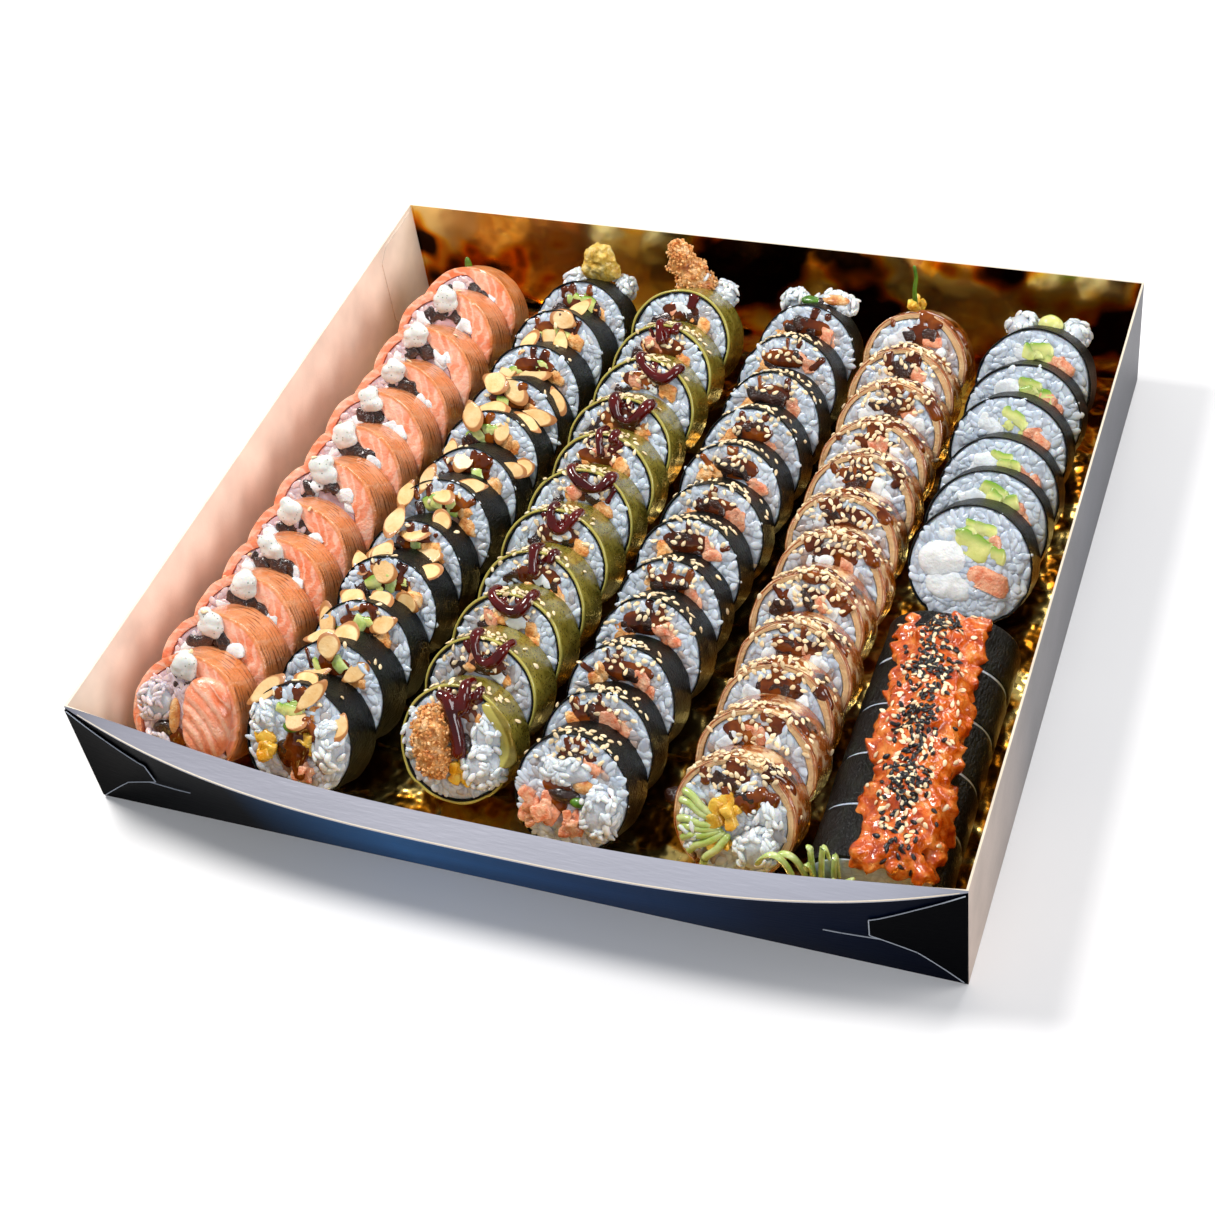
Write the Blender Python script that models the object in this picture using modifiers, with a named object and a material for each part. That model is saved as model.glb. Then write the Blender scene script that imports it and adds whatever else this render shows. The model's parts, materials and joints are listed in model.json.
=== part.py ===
"""Takeaway sushi tray: a folded board tray packed with rows of sliced rolls.

Metres, +Z up. The front wall faces -Y. The origin is at the middle of the underside.
Every slice leans back on the one behind it, and every row ends in the ragged tail of its roll.
"""

import math
import random

import bmesh
import bpy
from mathutils import Matrix, Vector

NAME = "takeaway_sushi_tray"

# Tray: outside sizes of the folded board.
TRAY_WIDTH = 0.325
TRAY_DEPTH = 0.310
TRAY_HEIGHT = 0.050
BOARD = 0.0008
WALL_COLUMNS = 14

# The food has pushed the front wall out, and its top strip folds back along a curved crease.
FRONT_BOW = 0.0145
CREASE_DROP = 0.014
CREASE_TOP_GAP = 0.001
STRIP_RETURN = 0.009
STRIP_RISE = 0.0033
BOW_POWER = 3
STRIP_POWER = 5

# Corner flaps of the back wall, glued inside the side walls.
FLAP_THICKNESS = 0.0008
FLAP_SINK = 0.0005
BACK_FLAP = ((0.002, 0.003), (0.030, 0.003), (0.036, 0.012), (0.036, 0.043), (0.030, 0.048), (0.002, 0.048))

# Gaps between separate solids.
GAP = 0.0003
FLOOR = BOARD + GAP
SLICE_GAP = 0.0005
JOIN_DEPTH = 0.0004
WELD = 0.00002

# Slices: a round of a roll, leaning back.
SLICE_SIDES = 14
SLICE_BEVEL = 0.0016
TILT = math.radians(34)
TILT_WANDER = math.radians(1.2)
TURN_WANDER = math.radians(1.0)
PITCH_WANDER = 0.0016
SIDE_WANDER = 0.0009
UNEVEN = 0.016
FOOT_SHARE = 0.97
FOOT_COSINE = -0.75
MIDDLE_HEIGHT = 0.025
ROW_START = -0.120
ROW_END = 0.120

# Each row: x at the front and back ends, half width and half height of a slice, y of the first
# and last slice's top, number of slices, and the pairs that are joined into one node.
ROWS = {
    "salmon": dict(x=(-0.1285, -0.117), size=(0.0232, 0.0238), tops=(-0.121, 0.119), count=12, pairs=(0, 10)),
    "almond": dict(x=(-0.082, -0.0645), size=(0.0217, 0.0223), tops=(-0.121, 0.120), count=12, pairs=(0, 10)),
    "wrapped": dict(x=(-0.027, -0.0195), size=(0.0224, 0.0225), tops=(-0.109, 0.121), count=11, pairs=(9,)),
    "sesame": dict(x=(0.022, 0.0348), size=(0.0214, 0.0225), tops=(-0.120, 0.121), count=12, pairs=(0, 10)),
    "seared": dict(x=(0.078, 0.0798), size=(0.0222, 0.0225), tops=(-0.116, 0.123), count=12, pairs=(0, 10)),
    "avocado": dict(x=(0.127, 0.128), size=(0.0236, 0.0236), tops=(0.014, 0.122), count=6, pairs=()),
}

# Cut roll that lies along the right wall with its seam down, and the tartare heaped on it.
LONG_ROLL_X = 0.128
LONG_ROLL_ENDS = (-0.140, -0.026)
LONG_ROLL_HALF_WIDTH = 0.0245
LONG_ROLL_HEIGHT = 0.034
LONG_ROLL_PIECES = 5
LONG_ROLL_SIDES = 14
CUT_HALF_WIDTH = 0.0009
CUT_DEPTH = 0.12
TARTARE_LINE = ((0.125, -0.029), (0.137, -0.146))
TARTARE_HALF_WIDTH = 0.0165
TARTARE_TOP = 0.046
TARTARE_RIGHT = 0.1515
TARTARE_SIDES = (-0.8, 0.75, -0.1)
TARTARE_LUMPS = 18
TARTARE_LUMP = 0.0068

# Toppings.
LARGE_LUMP = 0.0085
LUMP_ROUGHNESS = 0.07
DOLLOP = 0.0062
DOLLOP_PEAK = 0.35
ALMOND_LENGTH = 0.0135
ALMOND_WIDTH = 0.0088
ALMOND_THICKNESS = 0.0014
SAUCE_RADIUS = 0.0018
SESAME_LENGTH = 0.0031
SESAME_WIDTH = 0.0019
SESAME_SINK = 0.0004
CUCUMBER_FOOT = (0.1105, -0.1475)
CUCUMBER_FOOT_SIZE = (0.0085, 0.0042, 0.0040)
CUCUMBER_RADIUS = 0.0019
CUCUMBER_STRIPS = 5
CUCUMBER_RISE = 0.030

COLOURS = {
    "board": ((0.020, 0.022, 0.030), 0.32, 0.0),
    "salmon": ((0.860, 0.330, 0.150), 0.42, 0.0),
    "almond": ((0.045, 0.055, 0.045), 0.45, 0.0),
    "wrapped": ((0.330, 0.270, 0.070), 0.45, 0.0),
    "sesame": ((0.040, 0.050, 0.042), 0.45, 0.0),
    "seared": ((0.520, 0.300, 0.130), 0.45, 0.0),
    "avocado": ((0.045, 0.055, 0.050), 0.45, 0.0),
    "long_roll": ((0.025, 0.032, 0.028), 0.45, 0.0),
    "tartare": ((0.780, 0.180, 0.050), 0.35, 0.0),
    "cucumber": ((0.450, 0.580, 0.230), 0.40, 0.0),
}


def clear_scene():
    for thing in list(bpy.data.objects):
        bpy.data.objects.remove(thing, do_unlink=True)


def new_collection(name):
    group = bpy.data.collections.new(name)
    bpy.context.scene.collection.children.link(group)
    return group


def new_material(name, colour, roughness, metallic):
    finish = bpy.data.materials.new(name)
    finish.use_nodes = True
    shader = finish.node_tree.nodes["Principled BSDF"]
    shader.inputs["Base Color"].default_value = (*colour, 1.0)
    shader.inputs["Roughness"].default_value = roughness
    shader.inputs["Metallic"].default_value = metallic
    return finish


def new_solid(name, bm, group, finish=None):
    """An object from a finished bmesh, shaded smooth with its sharp edges kept."""
    mesh = bpy.data.meshes.new(name)
    bm.normal_update()
    bmesh.ops.recalc_face_normals(bm, faces=bm.faces)
    bm.to_mesh(mesh)
    bm.free()
    mesh.shade_smooth()
    mesh.set_sharp_from_angle(angle=math.radians(40))
    solid = bpy.data.objects.new(name, mesh)
    group.objects.link(solid)
    if finish:
        mesh.materials.append(finish)
    return solid


def largest_body(mesh):
    """Keeps the largest closed body of a mesh: sealed hollows are filled and scraps dropped."""
    bm = bmesh.new()
    bm.from_mesh(mesh)
    bmesh.ops.remove_doubles(bm, verts=bm.verts, dist=WELD)
    bmesh.ops.dissolve_degenerate(bm, dist=WELD, edges=bm.edges)
    left = set(bm.verts)
    bodies = []
    while left:
        stack = [left.pop()]
        body = set(stack)
        while stack:
            for edge in stack.pop().link_edges:
                for vert in edge.verts:
                    if vert in left:
                        left.discard(vert)
                        body.add(vert)
                        stack.append(vert)
        bodies.append(body)
    bodies.sort(key=len, reverse=True)
    for body in bodies[1:]:
        bmesh.ops.delete(bm, geom=list(body), context="VERTS")
    bmesh.ops.triangulate(bm, faces=bm.faces)
    bm.to_mesh(mesh)
    bm.free()


def is_closed(mesh):
    bm = bmesh.new()
    bm.from_mesh(mesh)
    closed = all(len(edge.link_faces) == 2 for edge in bm.edges)
    bm.free()
    return closed


def apply_modifiers(solid):
    """Replaces an object's mesh by its evaluated one, as one closed body."""
    booleans = [modifier for modifier in solid.modifiers if modifier.type == "BOOLEAN"]
    for solver in ("EXACT", "MANIFOLD"):
        for modifier in booleans:
            modifier.solver = solver
        graph = bpy.context.evaluated_depsgraph_get()
        graph.update()
        mesh = bpy.data.meshes.new_from_object(solid.evaluated_get(graph))
        largest_body(mesh)
        if is_closed(mesh):
            break
    solid.modifiers.clear()
    old = solid.data
    name = old.name
    solid.data = mesh
    bpy.data.meshes.remove(old)
    mesh.name = name


def fuse(solid, extras):
    """Joins a collection of loose pieces to the solid with one union, then removes them."""
    if extras.objects:
        union = solid.modifiers.new("fuse", "BOOLEAN")
        union.operation = "UNION"
        union.operand_type = "COLLECTION"
        union.collection = extras
        apply_modifiers(solid)
    for extra in list(extras.objects):
        bpy.data.objects.remove(extra, do_unlink=True)
    bpy.data.collections.remove(extras)


def bow_share(x):
    return 1 - abs(2 * x / TRAY_WIDTH) ** BOW_POWER


def crease_point(x):
    """The front wall's curved crease at x: how far out of the wall's plane it is, and how high."""
    share = bow_share(x)
    return FRONT_BOW * share, TRAY_HEIGHT - CREASE_TOP_GAP - CREASE_DROP * share


def tray_sheet():
    """The open box of the tray as a sheet, its front wall bowed out and its top strip folded back."""
    bm = bmesh.new()
    bmesh.ops.create_cube(bm, size=1.0)
    bmesh.ops.scale(bm, vec=(TRAY_WIDTH, TRAY_DEPTH, TRAY_HEIGHT), verts=bm.verts)
    bmesh.ops.translate(bm, vec=(0, 0, TRAY_HEIGHT / 2), verts=bm.verts)
    lid = [face for face in bm.faces if face.normal.z > 0.5]
    bmesh.ops.delete(bm, geom=lid, context="FACES_ONLY")
    for column in range(1, WALL_COLUMNS):
        x = TRAY_WIDTH * (column / WALL_COLUMNS - 0.5)
        everything = bm.verts[:] + bm.edges[:] + bm.faces[:]
        bmesh.ops.bisect_plane(bm, geom=everything, plane_co=(x, 0, 0), plane_no=(1, 0, 0))
    everything = bm.verts[:] + bm.edges[:] + bm.faces[:]
    bmesh.ops.bisect_plane(bm, geom=everything, plane_co=(0, 0, TRAY_HEIGHT / 2), plane_no=(0, 0, 1))
    for vert in bm.verts:
        on_front = vert.co.y < -TRAY_DEPTH / 2 + BOARD
        if not on_front or vert.co.z < BOARD:
            continue
        out, height = crease_point(vert.co.x)
        is_top = vert.co.z > TRAY_HEIGHT - BOARD
        vert.co.y -= out
        vert.co.z = height
        if is_top:
            strip = 1 - abs(2 * vert.co.x / TRAY_WIDTH) ** STRIP_POWER
            vert.co.y += STRIP_RETURN * strip
            vert.co.z += CREASE_TOP_GAP + STRIP_RISE * strip
    return bm


def add_plate(outline, push, extras, name):
    """A thin plate from an outline of points, thickened by the vector push."""
    bm = bmesh.new()
    face = bm.faces.new([bm.verts.new(point) for point in outline])
    grown = bmesh.ops.extrude_face_region(bm, geom=[face])
    moved = [item for item in grown["geom"] if isinstance(item, bmesh.types.BMVert)]
    bmesh.ops.translate(bm, vec=push, verts=moved)
    new_solid(name, bm, extras)


def make_tray(group, finish):
    tray = new_solid("tray", tray_sheet(), group, finish)
    wall = tray.modifiers.new("board", "SOLIDIFY")
    wall.thickness = BOARD
    wall.offset = -1.0
    wall.use_even_offset = True
    flaps = new_collection("tray_flaps")
    for side in (-1, 1):
        outline = []
        for inward, z in BACK_FLAP:
            x = side * (TRAY_WIDTH / 2 - BOARD + FLAP_SINK)
            outline.append((x, TRAY_DEPTH / 2 - inward, z))
        add_plate(outline, (-side * (FLAP_THICKNESS + FLAP_SINK), 0, 0), flaps, "back_flap")
    fuse(tray, flaps)
    return tray


class Plane:
    """A cut between two slices: it leans back by tilt, turned a little about the vertical."""

    def __init__(self, y, tilt, turn):
        self.point = Vector((0, y, MIDDLE_HEIGHT))
        self.normal = Vector((math.sin(turn) * math.cos(tilt), -math.cos(turn) * math.cos(tilt), math.sin(tilt)))

    def along(self, start, direction, gap):
        """Distance from start along direction to this plane, kept clear by gap."""
        reach = (self.point - start).dot(self.normal) + gap
        return reach / direction.dot(self.normal)


def row_planes(row, rng):
    """The cuts of a row, one more than its slices, at a wandering pitch and tilt."""
    first, last = row["tops"]
    count = row["count"]
    pitch = (last - first) / (count - 1)
    rise = (FLOOR + 2 * row["size"][1] * math.cos(TILT) + pitch / 2 - MIDDLE_HEIGHT) * math.tan(TILT)
    planes = []
    for cut in range(count + 1):
        y = first + cut * pitch - rise + rng.uniform(-1, 1) * PITCH_WANDER
        tilt = TILT + rng.uniform(-1, 1) * TILT_WANDER
        planes.append(Plane(y, tilt, rng.uniform(-1, 1) * TURN_WANDER))
    return planes


def row_x(row, y):
    share = (y - ROW_START) / (ROW_END - ROW_START)
    return row["x"][0] + (row["x"][1] - row["x"][0]) * share


class Slice:
    """One round of a roll between two cuts, with the frame of its front face."""

    def __init__(self, row, front, back, rng, joined=False):
        self.half_width, self.half_height = row["size"]
        self.front = front
        self.back = back
        self.joined = joined
        self.axis = ((front.normal + back.normal) / 2).normalized()
        self.across = Vector((0, 0, 1)).cross(self.axis).normalized()
        self.up = self.axis.cross(self.across)
        self.phases = [rng.uniform(0, math.tau) for _ in range(3)]
        x = row_x(row, front.point.y) + rng.uniform(-1, 1) * SIDE_WANDER
        self.centre = Vector((x, front.point.y, MIDDLE_HEIGHT))
        back_drop = min(point.z for point in (self.back_point(a) for a in self.angles()))
        self.centre += self.up * ((FLOOR - back_drop) / self.up.z)

    def angles(self):
        return [math.tau * side / SLICE_SIDES for side in range(SLICE_SIDES)]

    def rim(self, angle, share=1.0):
        """Offset from the centre line: angle 0 is the top, and the foot of the slice is flatter."""
        two, three, five = self.phases
        uneven = math.cos(2 * angle + two) + math.cos(3 * angle + three) + 0.6 * math.cos(5 * angle + five)
        reach = share * (1 - UNEVEN + UNEVEN * 0.4 * uneven)
        flat = FOOT_SHARE if math.cos(angle) < FOOT_COSINE else 1.0
        sideways = self.across * (self.half_width * reach * math.sin(angle))
        upward = self.up * (self.half_height * reach * flat * math.cos(angle))
        return sideways + upward

    def front_point(self, angle, share=1.0):
        start = self.centre + self.rim(angle, share)
        return start + self.axis * self.front.along(start, self.axis, -SLICE_GAP / 2)

    def back_point(self, angle):
        start = self.centre + self.rim(angle)
        gap = -JOIN_DEPTH if self.joined else SLICE_GAP / 2
        return start + self.axis * self.back.along(start, self.axis, gap)

    def mesh(self):
        """A cone primitive whose two ends are moved to the cuts, with its front rim bevelled."""
        bm = bmesh.new()
        bmesh.ops.create_cone(
            bm, cap_ends=True, segments=SLICE_SIDES, radius1=1, radius2=1, depth=2
        )
        for vert in bm.verts:
            angle = math.atan2(vert.co.x, vert.co.y)
            vert.co = self.front_point(angle) if vert.co.z > 0 else self.back_point(angle)
        bm.normal_update()
        rim = []
        for edge in bm.edges:
            middle = (edge.verts[0].co + edge.verts[1].co) / 2
            on_front = all(abs(self.front_offset(vert.co)) < GAP for vert in edge.verts)
            if on_front and (middle - self.centre).length > self.half_width * 0.5:
                rim.append(edge)
        bmesh.ops.bevel(
            bm, geom=rim, offset=SLICE_BEVEL, segments=1, affect="EDGES", profile=0.5
        )
        return bm

    def front_offset(self, point):
        return (point - self.front.point).dot(self.front.normal) + SLICE_GAP / 2

    def face_frame(self, angle, share, lift=0.0, spin=0.0):
        """A matrix on the front face: x across, y up the face and z out of it."""
        origin = self.front_point(angle, share) + self.axis * lift
        turn = Matrix((self.across, self.up, self.axis)).transposed().to_4x4()
        return Matrix.Translation(origin) @ turn @ Matrix.Rotation(spin, 4, "Z")


def lump(frame, size, extras, rng):
    """A soft uneven lump of the three half sizes in size, with more faces if it is large."""
    bm = bmesh.new()
    detail = 2 if max(size) > LARGE_LUMP else 1
    bmesh.ops.create_icosphere(bm, subdivisions=detail, radius=1.0)
    for vert in bm.verts:
        vert.co *= 1 + rng.uniform(-LUMP_ROUGHNESS, LUMP_ROUGHNESS)
    bmesh.ops.transform(bm, matrix=frame @ Matrix.Diagonal((*size, 1)), verts=bm.verts)
    new_solid("lump", bm, extras)


def flake(frame, extras, rng):
    """A toasted almond flake: a thin oval disc, a little pointed at one end."""
    bm = bmesh.new()
    bmesh.ops.create_cone(bm, cap_ends=True, segments=8, radius1=0.5, radius2=0.5, depth=1)
    scale = rng.uniform(0.8, 1.1)
    size = (ALMOND_LENGTH * scale, ALMOND_WIDTH * scale, ALMOND_THICKNESS, 1)
    bmesh.ops.transform(bm, matrix=frame @ Matrix.Diagonal(size), verts=bm.verts)
    new_solid("flake", bm, extras)


def dollop(frame, size, extras, rng):
    """A piped dollop of cream whose crown is pulled up into a peak."""
    bm = bmesh.new()
    bmesh.ops.create_uvsphere(bm, u_segments=7, v_segments=5, radius=1.0)
    lean = rng.uniform(-0.3, 0.3)
    for vert in bm.verts:
        pull = max(0.0, vert.co.z) ** 6
        vert.co.x *= 1 - 0.4 * max(0.0, vert.co.z)
        vert.co.x += lean * pull
        vert.co.z += DOLLOP_PEAK * pull
    upright = Matrix.Rotation(-math.pi / 2, 4, "X")
    bmesh.ops.transform(bm, matrix=frame @ Matrix.Diagonal((*size, 1)) @ upright, verts=bm.verts)
    new_solid("dollop", bm, extras)


def seed(frame, extras):
    """A sesame seed: a long drop, thicker than it is flat."""
    bm = bmesh.new()
    bmesh.ops.create_icosphere(bm, subdivisions=1, radius=0.5)
    size = (SESAME_LENGTH, SESAME_WIDTH, SESAME_WIDTH, 1)
    bmesh.ops.transform(bm, matrix=frame @ Matrix.Diagonal(size), verts=bm.verts)
    new_solid("seed", bm, extras)


def tube(points, radius, extras):
    """A solid strand along points, from a bevelled curve whose caps are welded on."""
    curve = bpy.data.curves.new("strand", "CURVE")
    curve.dimensions = "3D"
    curve.bevel_depth = radius
    curve.bevel_resolution = 0
    curve.use_fill_caps = True
    spline = curve.splines.new("POLY")
    spline.points.add(len(points) - 1)
    for spot, point in zip(spline.points, points):
        spot.co = (*point, 1.0)
    line = bpy.data.objects.new("strand", curve)
    extras.objects.link(line)
    graph = bpy.context.evaluated_depsgraph_get()
    graph.update()
    mesh = bpy.data.meshes.new_from_object(line.evaluated_get(graph))
    bm = bmesh.new()
    bm.from_mesh(mesh)
    bmesh.ops.remove_doubles(bm, verts=bm.verts, dist=1e-5)
    bpy.data.meshes.remove(mesh)
    bpy.data.objects.remove(line, do_unlink=True)
    bpy.data.curves.remove(curve)
    new_solid("strand", bm, extras)


def sesame(piece, extras, rng, count, spread=0.62):
    """Seeds on the strip of the face that the slice in front leaves bare."""
    for index in range(count):
        angle = spread * (2 * (index + rng.uniform(0.2, 0.8)) / count - 1)
        share = rng.uniform(0.70, 0.86)
        seed(piece.face_frame(angle, share, SESAME_SINK, rng.uniform(0, math.pi)), extras)


def dress_salmon(piece, extras, rng, index):
    """A piped cream dollop with a peak."""
    frame = piece.face_frame(rng.uniform(-0.18, 0.02), 0.90, DOLLOP * 0.2)
    size = (DOLLOP * rng.uniform(0.95, 1.2), DOLLOP * rng.uniform(0.8, 0.95), DOLLOP * 0.72)
    dollop(frame, size, extras, rng)


def dress_almond(piece, extras, rng, index):
    """Two toasted almond flakes that overlap a little."""
    for spot in range(2):
        angle = (spot - 0.5) * 0.62 + rng.uniform(-0.12, 0.12)
        lift = ALMOND_THICKNESS * (0.25 + 0.5 * spot)
        frame = piece.face_frame(angle, 0.81, lift, rng.uniform(-0.35, 0.35))
        flake(frame @ Matrix.Rotation(rng.uniform(-0.12, 0.12), 4, "Y"), extras, rng)


def dress_wrapped(piece, extras, rng, index):
    """A thick zigzag of sauce across the top of the slice, and a seed."""
    way = 1 if index % 2 else -1
    points = []
    for step in range(5):
        angle = way * (0.42 - 0.2 * step)
        share = 0.74 + 0.12 * math.sin(math.pi * step / 2.2)
        points.append(piece.face_frame(angle, share, SAUCE_RADIUS * 0.35).translation)
    tube(points, SAUCE_RADIUS, extras)
    sesame(piece, extras, rng, 1)


def dress_seeded(piece, extras, rng, index):
    """Sesame seeds, two to a slice."""
    sesame(piece, extras, rng, 2)


def face_lumps(piece, lumps, extras, rng):
    """Lumps on a front face, each as angle, share of the rim, lift and three half sizes in mm."""
    for angle, share, lift, size in lumps:
        frame = piece.face_frame(angle, share, lift / 1000)
        lump(frame, [half / 1000 for half in size], extras, rng)


def end_lumps(piece, lumps, extras, rng):
    """Upright lumps on top of a row's last slice, each as offset from its top and half sizes in mm."""
    top = piece.back_point(0.0)
    for offset, size in lumps:
        spot = top + Vector(offset) / 1000
        lump(Matrix.Translation(spot), [half / 1000 for half in size], extras, rng)


# Front ends: what spills from the cut end of each roll towards the front wall.
FRONT_ENDS = {
    "salmon": (
        (1.2, 0.35, 1.5, (10.0, 14.0, 4.0)),
        (-1.3, 0.55, 1.0, (7.5, 7.0, 3.5)),
    ),
    "almond": (
        (-2.0, 0.50, 2.0, (5.5, 7.5, 5.0)),
        (1.5, 0.60, 1.0, (6.0, 9.0, 4.0)),
        (0.3, 0.40, 1.0, (8.0, 5.0, 3.5)),
    ),
    "wrapped": (
        (-1.2, 0.42, 2.0, (5.5, 12.0, 4.5)),
        (1.9, 0.55, 1.0, (8.0, 8.0, 4.0)),
        (1.25, 0.96, 0.0, (3.0, 13.0, 2.2)),
    ),
    "sesame": (
        (-2.1, 0.55, 1.5, (8.0, 8.0, 5.0)),
        (2.2, 0.50, 1.5, (7.5, 8.0, 5.0)),
        (1.0, 0.55, 1.0, (7.0, 8.0, 3.5)),
    ),
    "seared": (
        (-0.4, 0.20, 2.5, (7.5, 6.5, 5.0)),
        (2.6, 0.50, 2.0, (6.5, 6.0, 5.0)),
        (1.7, 0.62, 1.0, (7.0, 8.0, 4.0)),
        (-1.55, 1.06, -9.0, (6.0, 3.5, 4.0)),
    ),
}

# Back ends: what stands up behind the last slice of each roll.
BACK_ENDS = {
    "salmon": (((-8, 0, -2), (2.0, 2.0, 5.5)),),
    "almond": (((1, 1, 6), (7.5, 5.0, 10.5)), ((-11, 1, -5), (6.5, 6.0, 6.0)), ((11, 1, -5), (5.0, 5.5, 6.0))),
    "wrapped": (
        ((-10, 2, 9), (5.5, 4.5, 13.5)),
        ((-2, 0, 0), (8.0, 5.5, 7.5)),
        ((10, 1, -4), (6.0, 6.0, 6.0)),
        ((-6, -5, -1), (4.0, 3.0, 3.5)),
    ),
    "sesame": (((6, 0, -1), (10.0, 6.0, 5.0)), ((-11, 1, -4), (6.5, 6.0, 7.0))),
    "seared": (((-6, 0, 1), (4.5, 4.0, 4.5)), ((-6, 0, 12), (1.2, 1.2, 9.0))),
    "avocado": (((1, 0, -1), (5.5, 4.5, 5.0)), ((-10, 1, -4), (7.5, 6.5, 6.0)), ((11, 1, -5), (6.0, 6.5, 6.0))),
}

DRESS = {
    "salmon": dress_salmon,
    "almond": dress_almond,
    "wrapped": dress_wrapped,
    "sesame": dress_seeded,
    "seared": dress_seeded,
}


def make_row(order, name, row, group, finish):
    """The slices of a row, front to back, with their toppings fused on."""
    planes = row_planes(row, random.Random(order))
    count = row["count"]
    index = 0
    node = 1
    while index < count:
        members = [index, index + 1] if index in row["pairs"] else [index]
        extras = new_collection("extras")
        solid = None
        for member in members:
            rng = random.Random(100 * order + member)
            joined = member != members[-1]
            piece = Slice(row, planes[member], planes[member + 1], rng, joined)
            if solid is None:
                solid = new_solid(f"{name}_slice_{node:02d}", piece.mesh(), group, finish)
            else:
                new_solid("neighbour", piece.mesh(), extras)
            if name in DRESS and member < count - 1:
                DRESS[name](piece, extras, rng, member)
            if member == 0:
                face_lumps(piece, FRONT_ENDS.get(name, ()), extras, rng)
            if member == count - 1:
                end_lumps(piece, BACK_ENDS[name], extras, rng)
        fuse(solid, extras)
        index += len(members)
        node += 1


def roll_section(angle, grow=0.0):
    """The long roll's cross-section at an angle from the top: wide, with a flattened top and foot."""
    power = 0.82
    side = math.copysign(abs(math.sin(angle)) ** power, math.sin(angle))
    rise = math.copysign(abs(math.cos(angle)) ** power, math.cos(angle))
    half_height = LONG_ROLL_HEIGHT / 2 + grow
    return (LONG_ROLL_HALF_WIDTH + grow) * side, half_height * rise + FLOOR + LONG_ROLL_HEIGHT / 2


def roll_mesh(grow=0.0):
    """The long roll as a cone primitive along Y, with a narrow V where each cut is."""
    start, end = LONG_ROLL_ENDS
    bm = bmesh.new()
    bmesh.ops.create_cone(
        bm, cap_ends=True, segments=LONG_ROLL_SIDES, radius1=1, radius2=1, depth=end - start + 2 * grow
    )
    cuts = []
    if not grow:
        for cut in range(1, LONG_ROLL_PIECES):
            middle = (end - start) * (cut / LONG_ROLL_PIECES - 0.5)
            cuts.append(middle)
            for z in (middle - CUT_HALF_WIDTH, middle, middle + CUT_HALF_WIDTH):
                everything = bm.verts[:] + bm.edges[:] + bm.faces[:]
                bmesh.ops.bisect_plane(bm, geom=everything, plane_co=(0, 0, z), plane_no=(0, 0, 1))
    for vert in bm.verts:
        side, height = roll_section(math.atan2(vert.co.x, vert.co.y), grow)
        notch = any(abs(vert.co.z - middle) < CUT_HALF_WIDTH / 2 for middle in cuts)
        if notch:
            centre = FLOOR + LONG_ROLL_HEIGHT / 2
            side *= 1 - CUT_DEPTH
            height = centre + (height - centre) * (1 - CUT_DEPTH)
        vert.co = Vector((LONG_ROLL_X + side, vert.co.z + (start + end) / 2, height))
    return bm


def make_long_roll(group, finish):
    return new_solid("long_roll", roll_mesh(), group, finish)


def make_tartare(group, guides, finish, rng):
    """The tartare heap: an uneven core with lumps on it, its underside cut to the roll below."""
    front = Vector((*TARTARE_LINE[1], 0))
    back = Vector((*TARTARE_LINE[0], 0))
    run = front - back
    middle_height = LONG_ROLL_HEIGHT
    bm = bmesh.new()
    bmesh.ops.create_uvsphere(bm, u_segments=10, v_segments=8, radius=1.0)
    turn = Matrix.Rotation(math.atan2(run.x, -run.y), 4, "Z")
    size = Matrix.Diagonal((TARTARE_HALF_WIDTH, run.length / 2, TARTARE_TOP - middle_height, 1))
    centre = (front + back) / 2 + Vector((0, 0, middle_height))
    for vert in bm.verts:
        vert.co.y = math.copysign(abs(vert.co.y) ** 0.8, vert.co.y)
    bmesh.ops.transform(bm, matrix=Matrix.Translation(centre) @ turn @ size, verts=bm.verts)
    heap = new_solid("tartare_heap", bm, group, finish)
    extras = new_collection("extras")
    for index in range(TARTARE_LUMPS):
        share = (index + 0.5) / TARTARE_LUMPS
        side = TARTARE_SIDES[index % 3] + rng.uniform(-0.15, 0.15)
        half = [TARTARE_LUMP * rng.uniform(0.8, 1.25) for _ in range(3)]
        half[2] *= 0.6
        spot = back + run * share
        spot.x = min(spot.x + side * TARTARE_HALF_WIDTH, TARTARE_RIGHT - half[0])
        spot.z = middle_height + (TARTARE_TOP - middle_height) * math.sqrt(1 - side * side) * 0.85
        lump(Matrix.Translation(spot), half, extras, rng)
    fuse(heap, extras)
    bed = new_solid("tartare_bed", roll_mesh(GAP), guides)
    bed.hide_render = True
    bed.display_type = "WIRE"
    cut = heap.modifiers.new("bed", "BOOLEAN")
    cut.operation = "DIFFERENCE"
    cut.object = bed
    apply_modifiers(heap)
    return heap


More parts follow.
